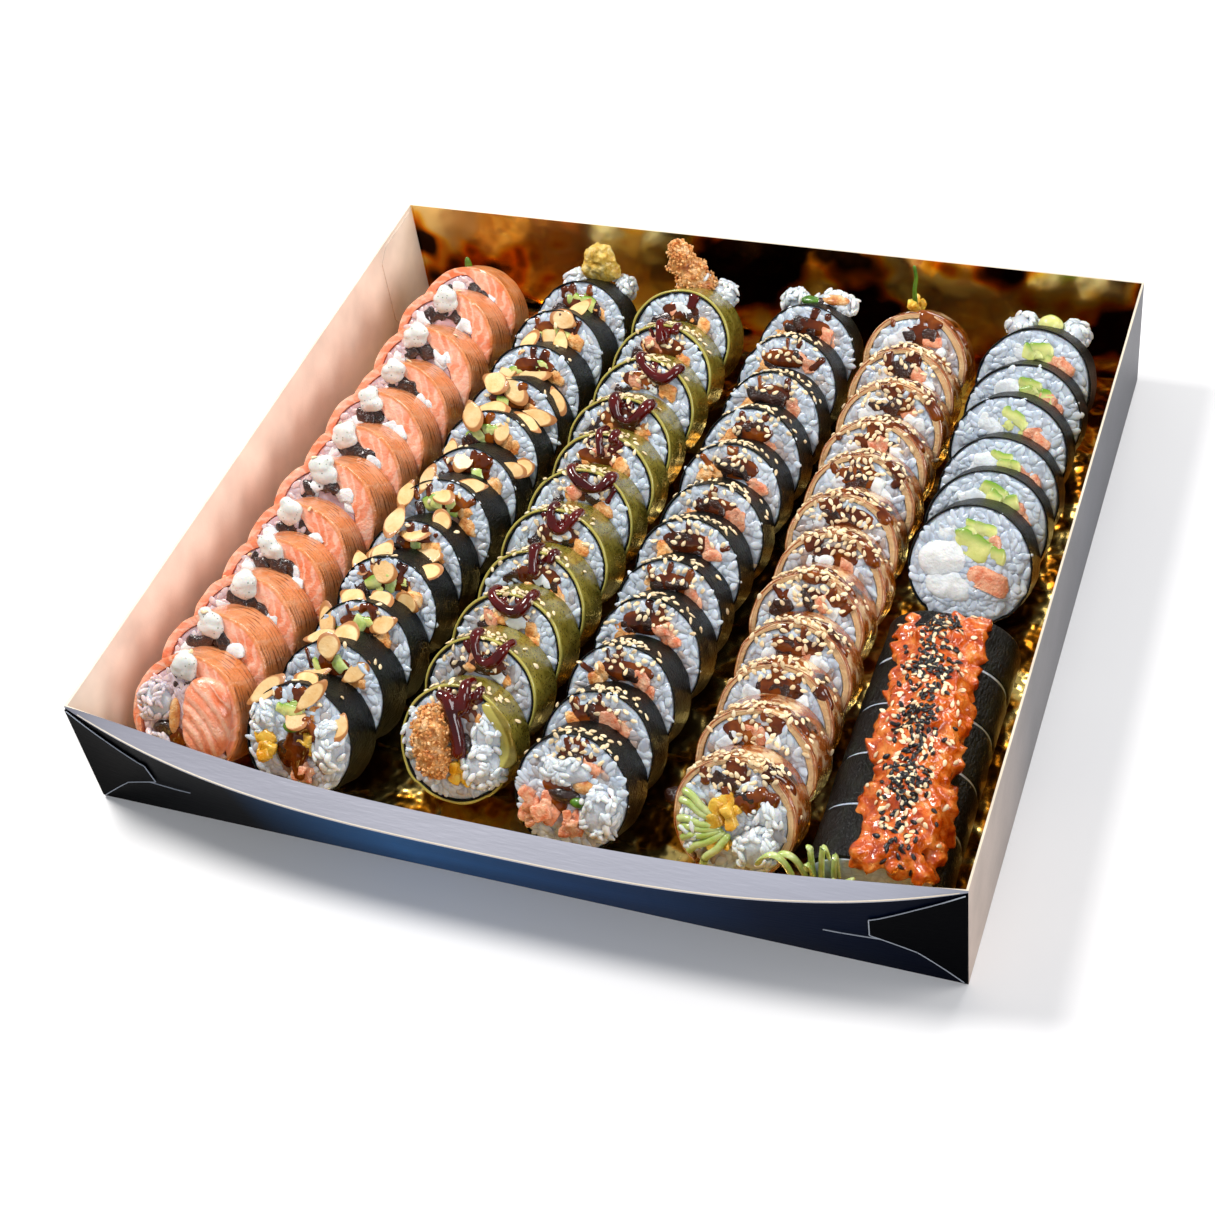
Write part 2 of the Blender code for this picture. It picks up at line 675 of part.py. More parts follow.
def make_cucumber(group, finish, rng):
    """Cucumber strips in front of the long roll, held together at their foot."""
    foot = Vector((*CUCUMBER_FOOT, FLOOR + CUCUMBER_FOOT_SIZE[2]))
    bm = bmesh.new()
    bmesh.ops.create_uvsphere(bm, u_segments=8, v_segments=5, radius=1.0)
    size = Matrix.Diagonal((*CUCUMBER_FOOT_SIZE, 1))
    bmesh.ops.transform(bm, matrix=Matrix.Translation(foot) @ size, verts=bm.verts)
    strips = new_solid("cucumber_strips", bm, group, finish)
    extras = new_collection("extras")
    for index in range(CUCUMBER_STRIPS):
        spread = 2 * index / (CUCUMBER_STRIPS - 1) - 1
        height = CUCUMBER_RISE * (1 + 0.2 * math.cos(index * 2.1))
        points = []
        for step in range(5):
            share = step / 4
            x = foot.x + 0.0055 * spread + 0.008 * spread * share**2
            y = foot.y - 0.0005 + 0.0035 * math.sin(share * 2.6)
            points.append(Vector((x, y, foot.z + height * math.sin(share * 2.0))))
        tube(points, CUCUMBER_RADIUS * rng.uniform(0.85, 1.1), extras)
    fuse(strips, extras)
    return strips


def main():
    clear_scene()
    group = new_collection(NAME)
    guides = new_collection("guides")
    guides.hide_render = True
    finishes = {name: new_material(name, *look) for name, look in COLOURS.items()}
    make_tray(group, finishes["board"])
    for order, (name, row) in enumerate(ROWS.items()):
        make_row(order, name, row, group, finishes[name])
    make_long_roll(group, finishes["long_roll"])
    make_tartare(group, guides, finishes["tartare"], random.Random(12))
    make_cucumber(group, finishes["cucumber"], random.Random(9))
    origin = bpy.data.objects.new("origin", None)
    group.objects.link(origin)
    origin.location.y = FRONT_BOW / 2
    for solid in list(group.objects) + list(guides.objects):
        if solid is not origin:
            solid.parent = origin


main()
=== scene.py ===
"""Takeaway sushi tray: the looks of its board, rolls and toppings."""

import json
import math
import random

import bpy
import numpy as np
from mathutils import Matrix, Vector
from mathutils.bvhtree import BVHTree

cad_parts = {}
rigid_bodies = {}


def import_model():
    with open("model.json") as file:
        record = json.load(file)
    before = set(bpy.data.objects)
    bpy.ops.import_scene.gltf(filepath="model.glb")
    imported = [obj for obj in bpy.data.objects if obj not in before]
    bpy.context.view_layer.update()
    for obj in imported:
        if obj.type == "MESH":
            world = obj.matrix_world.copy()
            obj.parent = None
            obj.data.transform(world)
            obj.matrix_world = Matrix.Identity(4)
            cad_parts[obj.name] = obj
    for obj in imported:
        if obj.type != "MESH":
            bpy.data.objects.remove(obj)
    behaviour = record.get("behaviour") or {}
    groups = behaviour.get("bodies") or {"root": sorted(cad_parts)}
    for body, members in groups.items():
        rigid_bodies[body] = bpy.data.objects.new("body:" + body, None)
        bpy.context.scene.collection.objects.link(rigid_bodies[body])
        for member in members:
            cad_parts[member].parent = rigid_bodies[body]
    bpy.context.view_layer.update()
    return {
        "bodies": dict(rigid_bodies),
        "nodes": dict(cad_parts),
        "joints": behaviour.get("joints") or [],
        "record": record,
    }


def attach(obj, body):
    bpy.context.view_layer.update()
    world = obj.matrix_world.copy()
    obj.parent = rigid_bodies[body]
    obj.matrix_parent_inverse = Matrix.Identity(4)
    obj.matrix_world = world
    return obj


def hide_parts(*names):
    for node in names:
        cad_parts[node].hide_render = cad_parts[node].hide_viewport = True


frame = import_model()

# Camera: where the photo was taken from.
CAMERA_PLACE = (0.2500, -0.5265, 0.5725)
CAMERA_TURN = (44.72, 7.10, 19.80)
CAMERA_LENS = 61.72
SENSOR = 36.0

# Tray, as the solids have it.
TRAY_WIDTH = 0.325
TRAY_DEPTH = 0.310
TRAY_HEIGHT = 0.050
BOARD = 0.0008
FRONT_BOW = 0.0145
CREASE_DROP = 0.014
CREASE_TOP_GAP = 0.001
STRIP_RETURN = 0.009
STRIP_RISE = 0.0033
BOW_POWER = 3
STRIP_POWER = 5
SHIFT = np.array((0.0, FRONT_BOW / 2, 0.0))

# Rows of slices, laid out by the same rule as the solids.
GAP = 0.0003
FLOOR = BOARD + GAP
SLICE_GAP = 0.0005
JOIN_DEPTH = 0.0004
SLICE_SIDES = 14
TILT = math.radians(34)
TILT_WANDER = math.radians(1.2)
TURN_WANDER = math.radians(1.0)
PITCH_WANDER = 0.0016
SIDE_WANDER = 0.0009
UNEVEN = 0.016
FOOT_SHARE = 0.97
FOOT_COSINE = -0.75
MIDDLE_HEIGHT = 0.025
ROW_START = -0.120
ROW_END = 0.120
ROWS = {
    "salmon": dict(x=(-0.1285, -0.117), size=(0.0232, 0.0238), tops=(-0.121, 0.119), count=12, pairs=(0, 10)),
    "almond": dict(x=(-0.082, -0.0645), size=(0.0217, 0.0223), tops=(-0.121, 0.120), count=12, pairs=(0, 10)),
    "wrapped": dict(x=(-0.027, -0.0195), size=(0.0224, 0.0225), tops=(-0.109, 0.121), count=11, pairs=(9,)),
    "sesame": dict(x=(0.022, 0.0348), size=(0.0214, 0.0225), tops=(-0.120, 0.121), count=12, pairs=(0, 10)),
    "seared": dict(x=(0.078, 0.0798), size=(0.0222, 0.0225), tops=(-0.116, 0.123), count=12, pairs=(0, 10)),
    "avocado": dict(x=(0.127, 0.128), size=(0.0236, 0.0236), tops=(0.014, 0.122), count=6, pairs=()),
}

# Small things at their true sizes: length, width and thickness.
GRAIN = (0.0054, 0.0026, 0.0022)
PRESSED = (0.0054, 0.0029, 0.0010)
SEED = (0.0029, 0.0018, 0.0011)
FLAKE = (0.0132, 0.0088, 0.0015)
CRUMB = 0.0013
CRUMB_COUNT = 1500
SEED_GAP = 0.0020
HEAP_SEED_GAP = 0.0013
FLAKE_GAP = 0.0086
DROP_HEIGHT = 0.09

# Sesame on each row: how many seeds fall on each slice, and how far they spread to the sides.
SEEDS = {"wrapped": (110, 0.0056), "sesame": (74, 0.0074), "seared": (170, 0.0084), "almond": (4, 0.010),
         "salmon": (1, 0.008)}

# Detail of the slices: how many columns round, how rough the cut rice is, and how a band's front lip wanders.
BAND_COLUMNS = 84
RICE_COLUMNS = 72
RICE_ROUGH = 0.00022
LIP_WANDER = 0.00040
LIP_ROUGH = 0.0002


# Colours and finishes

def paint(red, green, blue):
    """A linear colour from screen values of 0 to 255."""
    return tuple((value / 255) ** 2.2 for value in (red, green, blue)) + (1.0,)


class Finish:
    """A material being made: its nodes, its links and its one main shader."""

    def __init__(self, name, values):
        self.material = bpy.data.materials.new(name)
        self.material.use_nodes = True
        self.tree = self.material.node_tree
        self.shader = self.tree.nodes["Principled BSDF"]
        for socket, value in values.items():
            self.shader.inputs[socket].default_value = value

    def node(self, kind, inputs=(), **settings):
        return add_node(self.tree, kind, inputs, **settings)

    def link(self, source, target):
        self.tree.links.new(source, target)

    def fed(self, kind, source, socket, inputs=(), **settings):
        """A new node with one of its inputs linked."""
        node = self.node(kind, inputs, **settings)
        self.link(source, node.inputs[socket])
        return node

    def to_shader(self, source, socket):
        self.link(source, self.shader.inputs[socket])

    def place(self):
        return self.node("TexCoord").outputs["Object"]

    def stored(self, name):
        """The outputs of an attribute stored on the mesh."""
        return self.node("Attribute", attribute_name=name).outputs

    def mottle(self, patch, grain, stretch=(1.0, 1.0, 1.0)):
        """The mask of soft patches and the height of fine grain, their sizes in metres."""
        inputs = {"Patch": 1 / patch, "Grain": 1 / grain, "Stretch": stretch}
        return self.node("Group", inputs, node_tree=MOTTLE).outputs

    def relief(self, height, depth):
        """Bumps of a depth in metres."""
        bump = self.fed("Bump", height, "Height", {"Strength": 1.0, "Distance": depth})
        self.to_shader(bump.outputs["Normal"], "Normal")


def add_node(tree, kind, inputs=(), **settings):
    node = tree.nodes.new("ShaderNode" + kind)
    for name, value in settings.items():
        setattr(node, name, value)
    for name, value in dict(inputs).items():
        node.inputs[name].default_value = value
    return node


def new_group(name, inputs, outputs):
    """A shader node group with its named sockets, and its input and output nodes."""
    tree = bpy.data.node_groups.new(name, "ShaderNodeTree")
    for label, kind, value in inputs:
        socket = tree.interface.new_socket(label, in_out="INPUT", socket_type="NodeSocket" + kind)
        socket.default_value = value
    for label, kind in outputs:
        tree.interface.new_socket(label, in_out="OUTPUT", socket_type="NodeSocket" + kind)
    return tree, tree.nodes.new("NodeGroupInput"), tree.nodes.new("NodeGroupOutput")


def ramp(finish, mask, colours):
    """Evenly spaced colours, run through as the mask goes from 0 to 1."""
    node = finish.fed("ValToRGB", mask, "Fac")
    steps = node.color_ramp.elements
    while len(steps) < len(colours):
        steps.new(0.5)
    for index, colour in enumerate(colours):
        steps[index].position = index / (len(colours) - 1)
        steps[index].color = paint(*colour)
    return node.outputs["Color"]


def wire(tree, *pairs):
    for source, target in pairs:
        tree.links.new(source, target)


def mottle_group():
    """Soft patches of one size and fine grain of another, on Object coordinates."""
    inputs = (("Patch", "Float", 100.0), ("Grain", "Float", 900.0), ("Stretch", "Vector", (1.0, 1.0, 1.0)))
    tree, given, out = new_group("mottle", inputs, (("Mask", "Float"), ("Height", "Float")))
    place = add_node(tree, "TexCoord")
    scale = add_node(tree, "VectorMath", operation="MULTIPLY")
    patch = add_node(tree, "TexNoise", {"Detail": 3.0, "Roughness": 0.6})
    grain = add_node(tree, "TexNoise", {"Detail": 2.0, "Roughness": 0.6})
    spread = add_node(tree, "MapRange", {"From Min": 0.32, "From Max": 0.68})
    wire(tree, (place.outputs["Object"], scale.inputs[0]), (given.outputs["Stretch"], scale.inputs[1]),
         (scale.outputs[0], patch.inputs["Vector"]), (scale.outputs[0], grain.inputs["Vector"]),
         (given.outputs["Patch"], patch.inputs["Scale"]), (given.outputs["Grain"], grain.inputs["Scale"]),
         (patch.outputs["Fac"], spread.inputs["Value"]), (spread.outputs["Result"], out.inputs["Mask"]),
         (grain.outputs["Fac"], out.inputs["Height"]))
    return tree


def tone_group():
    """Makes each copy of a scattered thing a little lighter or darker by its tone."""
    inputs = (("Color", "Color", (1.0, 1.0, 1.0, 1.0)), ("Spread", "Float", 0.2))
    tree, given, out = new_group("tone", inputs, (("Color", "Color"),))
    tone = add_node(tree, "Attribute", attribute_name="tone")
    centred = add_node(tree, "Math", {1: 0.5}, operation="SUBTRACT")
    spread = add_node(tree, "Math", operation="MULTIPLY")
    lifted = add_node(tree, "Math", {1: 1.0}, operation="ADD")
    shade = add_node(tree, "VectorMath", operation="SCALE")
    wire(tree, (tone.outputs["Fac"], centred.inputs[0]), (centred.outputs[0], spread.inputs[0]),
         (given.outputs["Spread"], spread.inputs[1]), (spread.outputs[0], lifted.inputs[0]),
         (given.outputs["Color"], shade.inputs[0]), (lifted.outputs[0], shade.inputs["Scale"]),
         (shade.outputs[0], out.inputs["Color"]))
    return tree


MOTTLE = mottle_group()
TONE = tone_group()


def food_finish(name, colours, patch, grain, bump, values, tone=0.0, stretch=(1.0, 1.0, 1.0), specks=None,
                over=None, stain=None):
    """A food's finish: colours in patches, a fine grain, its copies' tones, specks, and a layer over them all.

    patch and grain are sizes in metres, and bump is the depth of the grain. specks gives a colour, a size and
    a share. over is a function that gets the finish and the colour so far, and gives back the new colour.
    stain is a colour that has soaked in, by the stain stored on the mesh.
    """
    finish = Finish(name, values)
    mottle = finish.mottle(patch, grain, stretch)
    colour = ramp(finish, mottle["Mask"], colours)
    if tone:
        colour = finish.fed("Group", colour, "Color", {"Spread": tone}, node_tree=TONE).outputs["Color"]
    if specks:
        colour = speckled(finish, colour, *specks)
    if over:
        colour = over(finish, colour)
    if stain:
        colour = blended(finish, finish.stored("stain")["Fac"], colour, stain)
    finish.to_shader(colour, "Base Color")
    finish.relief(mottle["Height"], bump)
    return finish.material


def blended(finish, mask, low, high, kind="MIX"):
    """Mixes two colours by a mask; either may be a socket or a plain colour."""
    mix = finish.fed("Mix", mask, "Factor", data_type="RGBA", blend_type=kind)
    for value, socket in ((low, mix.inputs[6]), (high, mix.inputs[7])):
        if isinstance(value, bpy.types.NodeSocket):
            finish.link(value, socket)
        else:
            socket.default_value = paint(*value)
    return mix.outputs[2]


def stepped(finish, value, low, high):
    """A value from 0 to 1 as the given one runs from low to high."""
    return finish.fed("MapRange", value, "Value", {"From Min": low, "From Max": high},
                      interpolation_type="SMOOTHSTEP").outputs["Result"]


def speckled(finish, colour, speck, size, share):
    dots = finish.fed("TexVoronoi", finish.place(), "Vector", {"Scale": 1 / size, "Randomness": 1.0}).outputs
    chance = finish.fed("SeparateColor", dots["Color"], 0).outputs[0]
    inside = stepped(finish, dots["Distance"], share, share * 0.6)
    mask = product(finish, inside, stepped(finish, chance, 0.5, 0.55))
    return blended(finish, mask, colour, speck)


def flow_of(finish):
    """The way along a wrapped sheet and its parts: metres round, metres deep, and how far out it is."""
    flow = finish.stored("flow")["Vector"]
    return flow, finish.fed("SeparateXYZ", flow, 0).outputs


def product(finish, one, two):
    """One value times another, or times a plain number."""
    times = finish.fed("Math", one, 0, operation="MULTIPLY")
    if isinstance(two, float):
        times.inputs[1].default_value = two
    else:
        finish.link(two, times.inputs[1])
    return times.outputs[0]


def waves(finish, flow, turn, scale, inputs, **settings):
    """Wavy bands across a turned and stretched flow."""
    placed = finish.fed("Mapping", flow, "Vector", {"Rotation": turn, "Scale": scale}).outputs["Vector"]
    return finish.fed("TexWave", placed, "Vector", inputs, **settings).outputs["Fac"]


def salmon_over(finish, colour):
    """Pale fat lines through the flesh, and char along the top and right side of the outside."""
    flow, parts = flow_of(finish)
    lines = waves(finish, flow, (0.0, math.radians(52), math.radians(12)), (1.0, 0.5, 0.026),
                  {"Scale": 74.0, "Distortion": 7.0, "Detail": 3.0, "Detail Scale": 1.6})
    fat = product(finish, stepped(finish, lines, 0.62, 1.0), 0.5)
    colour = blended(finish, fat, colour, (250, 212, 188))
    char = waves(finish, flow, (0.0, 0.0, 0.0), (0.26, 1.0, 0.0),
                 {"Scale": 135.0, "Distortion": 11.0, "Detail": 3.0, "Detail Scale": 1.0}, bands_direction="Y")
    patches = finish.fed("TexNoise", flow, "Vector", {"Scale": 120.0, "Detail": 2.0}).outputs["Fac"]
    scorched = product(finish, stepped(finish, char, 0.70, 0.98), stepped(finish, patches, 0.40, 0.62))
    toasted = product(finish, stepped(finish, parts["Z"], 0.93, 0.965), stepped(finish, parts["X"], -0.016, 0.004))
    colour = blended(finish, product(finish, toasted, 0.72), colour, (204, 122, 56))
    return blended(finish, product(finish, scorched, toasted), colour, (134, 70, 26))


def seared_over(finish, colour):
    """Dark glaze and scorched patches on the outside of the seared fish, browner flesh on its cut edge."""
    flow, parts = flow_of(finish)
    noise = {"Scale": 80.0, "Detail": 4.0, "Roughness": 0.6}
    patches = finish.fed("TexNoise", flow, "Vector", noise).outputs["Fac"]
    colour = blended(finish, stepped(finish, patches, 0.40, 0.52), colour, (158, 80, 22))
    colour = blended(finish, stepped(finish, patches, 0.54, 0.64), colour, (46, 20, 8))
    edge = product(finish, stepped(finish, parts["Z"], 0.965, 0.92), 0.8)
    return blended(finish, edge, colour, (222, 186, 136))


def sheet_over(finish, colour):
    """Small dark pits in the olive sheet, and its paler cut edge."""
    flow, parts = flow_of(finish)
    pits = finish.fed("TexVoronoi", flow, "Vector", {"Scale": 900.0}).outputs["Distance"]
    colour = blended(finish, stepped(finish, pits, 0.34, 0.20), colour, (66, 60, 16))
    return blended(finish, stepped(finish, parts["Y"], 0.0012, 0.0002), colour, (176, 166, 84))


def flake_over(finish, colour):
    """A browned rim round an almond flake."""
    size = finish.fed("VectorMath", finish.stored("local")["Vector"], 0, operation="LENGTH").outputs["Value"]
    return blended(finish, stepped(finish, size, 0.43, 0.51), colour, (166, 106, 52))


def avocado_over(finish, colour):
    """Green towards the skin side of an avocado slice."""
    parts = finish.fed("SeparateXYZ", finish.stored("local")["Vector"], 0).outputs
    return blended(finish, stepped(finish, parts["Y"], 0.02, 0.46), colour, (108, 156, 36))


def rice_gap_shade(finish, colour):
    """Painted shade: soft grey darkening in the gaps between the pressed grains of a cut face."""
    cells = finish.fed("TexVoronoi", finish.place(), "Vector", {"Scale": 330.0, "Randomness": 1.0},
                       feature="DISTANCE_TO_EDGE")
    # painted shade: a grey-blue colour in the gaps between the grains
    gap = product(finish, stepped(finish, cells.outputs["Distance"], 0.16, 0.0), 0.4)
    return blended(finish, gap, colour, (140, 152, 168))


MOIST = {"Roughness": 0.34, "Subsurface Weight": 0.25, "Subsurface Radius": (0.004, 0.002, 0.001),
         "Subsurface Scale": 1.0, "Coat Weight": 0.25, "Coat Roughness": 0.15}
GLOSSY = {"Roughness": 0.10, "Specular IOR Level": 0.1, "Coat Weight": 1.0, "Coat Roughness": 0.03}


def moist(**changes):
    values = dict(MOIST)
    values.update({key.replace("_", " "): value for key, value in changes.items()})
    return values


COOKED = moist(Roughness=0.30, Subsurface_Weight=0.4)
SOAKED = (150, 92, 30)
WHITE_RICE = ((198, 207, 218), (234, 237, 240))
RICE_BED = ((182, 193, 207), (210, 218, 227))

# Finishes of the food: label, colours, sizes of the patches and of the grain, depth of the grain, shader values,
# and the rest.
FINISHES = {
    "rice": ("rice", WHITE_RICE, 0.004, 0.0011, 0.0001, COOKED, dict(tone=0.2, stain=SOAKED)),
    # The rice beds' over layer paints shade into the gaps between their pressed grains.
    "rice_bed": ("rice bed", RICE_BED, 0.005, 0.0012, 0.0002, COOKED, dict(over=rice_gap_shade, stain=SOAKED)),
    "pink_rice": ("rice by salmon", WHITE_RICE, 0.004, 0.0011, 0.0001, COOKED,
                  dict(tone=0.2, stain=(226, 178, 172))),
    "pink_bed": ("rice bed by salmon", RICE_BED, 0.005, 0.0012, 0.0002, COOKED,
                 dict(over=rice_gap_shade, stain=(206, 158, 158))),
    "loose_rice": ("loose rice", ((222, 224, 222), (244, 244, 241)), 0.004, 0.0011, 0.0001, COOKED,
                   dict(tone=0.14, stain=SOAKED)),
    "clump_bed": ("clump bed", ((176, 184, 194), (206, 212, 218)), 0.004, 0.0011, 0.0003, COOKED,
                  dict(stain=SOAKED)),
    "nori": ("nori", ((2, 4, 3), (8, 11, 8), (24, 29, 20)), 0.0045, 0.0007, 0.0008,
             {"Roughness": 0.36, "Specular IOR Level": 0.22}, dict(stretch=(1.0, 0.4, 1.0))),
    "salmon": ("salmon", ((232, 118, 70), (242, 156, 122), (248, 190, 164)), 0.011, 0.0012, 0.0004,
               moist(Roughness=0.28, Coat_Weight=0.6), dict(over=salmon_over)),
    "wrap": ("olive sheet", ((106, 94, 30), (148, 134, 58)), 0.006, 0.0012, 0.00015,
             moist(Roughness=0.22, Coat_Weight=0.5), dict(over=sheet_over)),
    "seared": ("seared fish", ((216, 166, 108), (244, 218, 178)), 0.005, 0.0011, 0.0005,
               moist(Roughness=0.18, Coat_Weight=1.0, Coat_Roughness=0.05), dict(over=seared_over)),
    "avocado": ("avocado", ((210, 214, 116), (230, 230, 150)), 0.006, 0.0014, 0.00015, moist(Roughness=0.30),
                dict(tone=0.12, over=avocado_over)),
    "mango": ("yellow fruit and egg", ((222, 148, 20), (246, 204, 84)), 0.004, 0.0013, 0.0005,
              moist(Roughness=0.26, Coat_Weight=0.5), dict(tone=0.25)),
    "mushroom": ("mushroom", ((24, 11, 7), (66, 34, 20)), 0.003, 0.0010, 0.0006,
                 {"Roughness": 0.20, "Coat Weight": 0.8, "Coat Roughness": 0.1}, dict(tone=0.5)),
    "cream": ("herb cream", ((204, 207, 201), (228, 229, 224)), 0.006, 0.0022, 0.00025, moist(Roughness=0.30),
              dict(specks=((122, 130, 116), 0.0014, 0.26))),
    "cheese": ("cream cheese", ((222, 226, 226), (242, 243, 241)), 0.004, 0.0016, 0.0004, moist(Roughness=0.4), {}),
    "fish": ("pink fish", ((216, 112, 72), (244, 184, 148)), 0.0028, 0.0009, 0.0006,
             moist(Roughness=0.28, Coat_Weight=0.5), dict(tone=0.3)),
    "sauce": ("dark sauce", ((54, 6, 5), (92, 16, 9)), 0.012, 0.004, 0.0001, GLOSSY, {}),
    "glaze": ("brown glaze", ((38, 13, 4), (96, 42, 9), (150, 78, 18)), 0.014, 0.007, 0.0001, GLOSSY, {}),
    "almond": ("almond flake", ((236, 202, 146), (222, 172, 104)), 0.005, 0.0009, 0.00015,
               {"Roughness": 0.5, "Coat Weight": 0.2}, dict(tone=0.25, over=flake_over)),
    "sesame_seed": ("sesame seed", ((232, 200, 148), (248, 230, 192)), 0.003, 0.0007, 0.00006,
                    {"Roughness": 0.36, "Coat Weight": 0.3}, dict(tone=0.4)),
    "black_sesame": ("black sesame seed", ((12, 12, 14), (28, 28, 31)), 0.003, 0.0007, 0.00006,
                     {"Roughness": 0.34}, dict(tone=0.4)),
    "tempura": ("fried crumb", ((194, 102, 34), (234, 164, 90), (250, 210, 156)), 0.0035, 0.0007, 0.0006,
                {"Roughness": 0.40, "Coat Weight": 0.3, "Coat Roughness": 0.2}, dict(tone=0.4)),
    "batter": ("fried batter", ((206, 146, 26), (240, 198, 80), (252, 228, 150)), 0.0035, 0.0008, 0.0008,
               {"Roughness": 0.30, "Coat Weight": 0.6, "Coat Roughness": 0.15}, dict(tone=0.3)),
    "tartare": ("salmon tartare", ((160, 52, 6), (206, 88, 16), (236, 140, 62)), 0.005, 0.0016, 0.0005,
                moist(Roughness=0.2, Subsurface_Weight=0.06, Coat_Weight=1.0, Coat_Roughness=0.05), {}),
    "cucumber": ("cucumber", ((166, 194, 82), (214, 226, 158)), 0.004, 0.0012, 0.00015,
                 moist(Roughness=0.2, Coat_Weight=0.6), dict(tone=0.25)),
    "herb": ("green herb", ((36, 88, 14), (104, 154, 40)), 0.003, 0.0009, 0.0003,
             {"Roughness": 0.3, "Coat Weight": 0.3}, dict(tone=0.3)),
}


def make_finishes():
    """Every finish of the food, by name."""
    made = {name: food_finish(*values, **rest) for name, (*values, rest) in FINISHES.items()}
    made["cream_bed"] = made["cheese"]
    return made


# Modelling tools

def deselect():
    bpy.ops.object.select_all(action="DESELECT")


def pick(piece):
    deselect()
    piece.select_set(True)
    bpy.context.view_layer.objects.active = piece


def read(items, field, width=1, kind=np.float32):
    """A field of all of a mesh's points, corners or faces, one row for each."""
    values = np.empty(len(items) * width, kind)
    items.foreach_get(field, values)
    return values.reshape(-1, width) if width > 1 else values


def points_of(piece):
    return read(piece.data.vertices, "co", 3).astype(float)


def set_points(piece, co):
    piece.data.vertices.foreach_set("co", np.asarray(co, np.float32).ravel())
    piece.data.update()


def set_attribute(piece, name, values):
    """Stores a number or a vector for each point."""
    values = np.asarray(values, np.float32)
    kind, field = ("FLOAT_VECTOR", "vector") if values.ndim == 2 else ("FLOAT", "value")
    layer = piece.data.attributes.new(name, kind, "POINT")
    layer.data.foreach_set(field, values.ravel())


def apply_modifiers(piece):
    pick(piece)
    for modifier in list(piece.modifiers):
        bpy.ops.object.modifier_apply(modifier=modifier.name)


def edit(piece, *steps):
    """Runs edit-mode steps on all of a piece."""
    pick(piece)
    bpy.ops.object.mode_set(mode="EDIT")
    bpy.ops.mesh.select_all(action="SELECT")
    for step in steps:
        step()
    bpy.ops.object.mode_set(mode="OBJECT")


def weld():
    bpy.ops.mesh.remove_doubles(threshold=2e-5)
    bpy.ops.mesh.normals_make_consistent(inside=False)


def join(name, pieces):
    pick(pieces[0])
    for piece in pieces:
        piece.select_set(True)
    if len(pieces) > 1:
        bpy.ops.object.join()
    pieces[0].name = name
    return pieces[0]


def dress(piece, finish, slot, *nodes):
    """Gives a finished piece its material and its body, and the nodes that it stands for; the slot is not used."""
    if finish is not None:
        piece.data.materials.clear()
        piece.data.materials.append(finish)
    pick(piece)
    bpy.ops.object.shade_smooth_by_angle(angle=math.radians(50))
    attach(piece, "root")
    if nodes:
        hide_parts(*nodes)
    return piece


def wobble(points, size, seed=0):
    """Smooth noise from -1 to 1 at each point, with features of about size."""
    at = np.asarray(points, float) / size + seed * 17.31
    cell = np.floor(at).astype(np.int64)
    part = at - cell
    part = part * part * (3 - 2 * part)
    total = np.zeros(len(at))
    for corner in range(8):
        step = np.array((corner & 1, corner >> 1 & 1, corner >> 2 & 1))
        spot = cell + step
        mixed = (spot[:, 0] * 73856093) ^ (spot[:, 1] * 19349663) ^ (spot[:, 2] * 83492791)
        value = ((mixed * 2654435761 >> 9) & 0xFFFF) / 32767.5 - 1
        total += value * np.prod(np.where(step, part, 1 - part), axis=1)
    return total


def roughen(piece, depth, size, seed=0):
    """Pushes a piece's points in and out along their normals by two sizes of noise."""
    co = points_of(piece)
    push = wobble(co, size, seed) + 0.4 * wobble(co, size * 0.4, seed + 3)
    set_points(piece, co + read(piece.data.vertices, "normal", 3) * (push * depth)[:, None])


def sheet(name, columns, rows, place):
    """A grid primitive whose points are placed by a rule of two shares, welded where its edges meet.

    The rule gives the points and the flow: metres round, metres deep, and how far out they are.
    """
    deselect()
    bpy.ops.mesh.primitive_grid_add(x_subdivisions=columns, y_subdivisions=rows, size=1)
    piece = bpy.context.active_object
    piece.name = name
    at = points_of(piece)
    points, flow = place(at[:, 0] + 0.5, at[:, 1] + 0.5)
    set_points(piece, points)
    set_attribute(piece, "flow", flow)
    edit(piece, weld)
    return piece


def along(values, share):
    """Reads evenly spaced values at a share from 0 to 1."""
    return np.interp(share, np.linspace(0, 1, len(values)), values)


def along_path(points, share):
    return np.stack([along(points[:, axis], share) for axis in range(3)], 1)


def frames_on(spots, normals, rng, sizes, lean):
    """Frames that stand on a surface, z along its normal but leaning a little, and turned at random."""
    count = len(spots)
    sizes = np.broadcast_to(np.asarray(sizes, float), (count, 3))
    up = np.asarray(normals) + rng.normal(0, lean, (count, 3))
    up /= np.linalg.norm(up, axis=1)[:, None]
    side = np.cross(up, rng.normal(size=(count, 3)))
    side /= np.linalg.norm(side, axis=1)[:, None]
    frames = np.zeros((count, 4, 4))
    frames[:, :3, 0] = np.cross(side, up) * sizes[:, 0:1]
    frames[:, :3, 1] = side * sizes[:, 1:2]
    frames[:, :3, 2] = up * sizes[:, 2:3]
    frames[:, :3, 3] = spots
    frames[:, 3, 3] = 1
    return frames


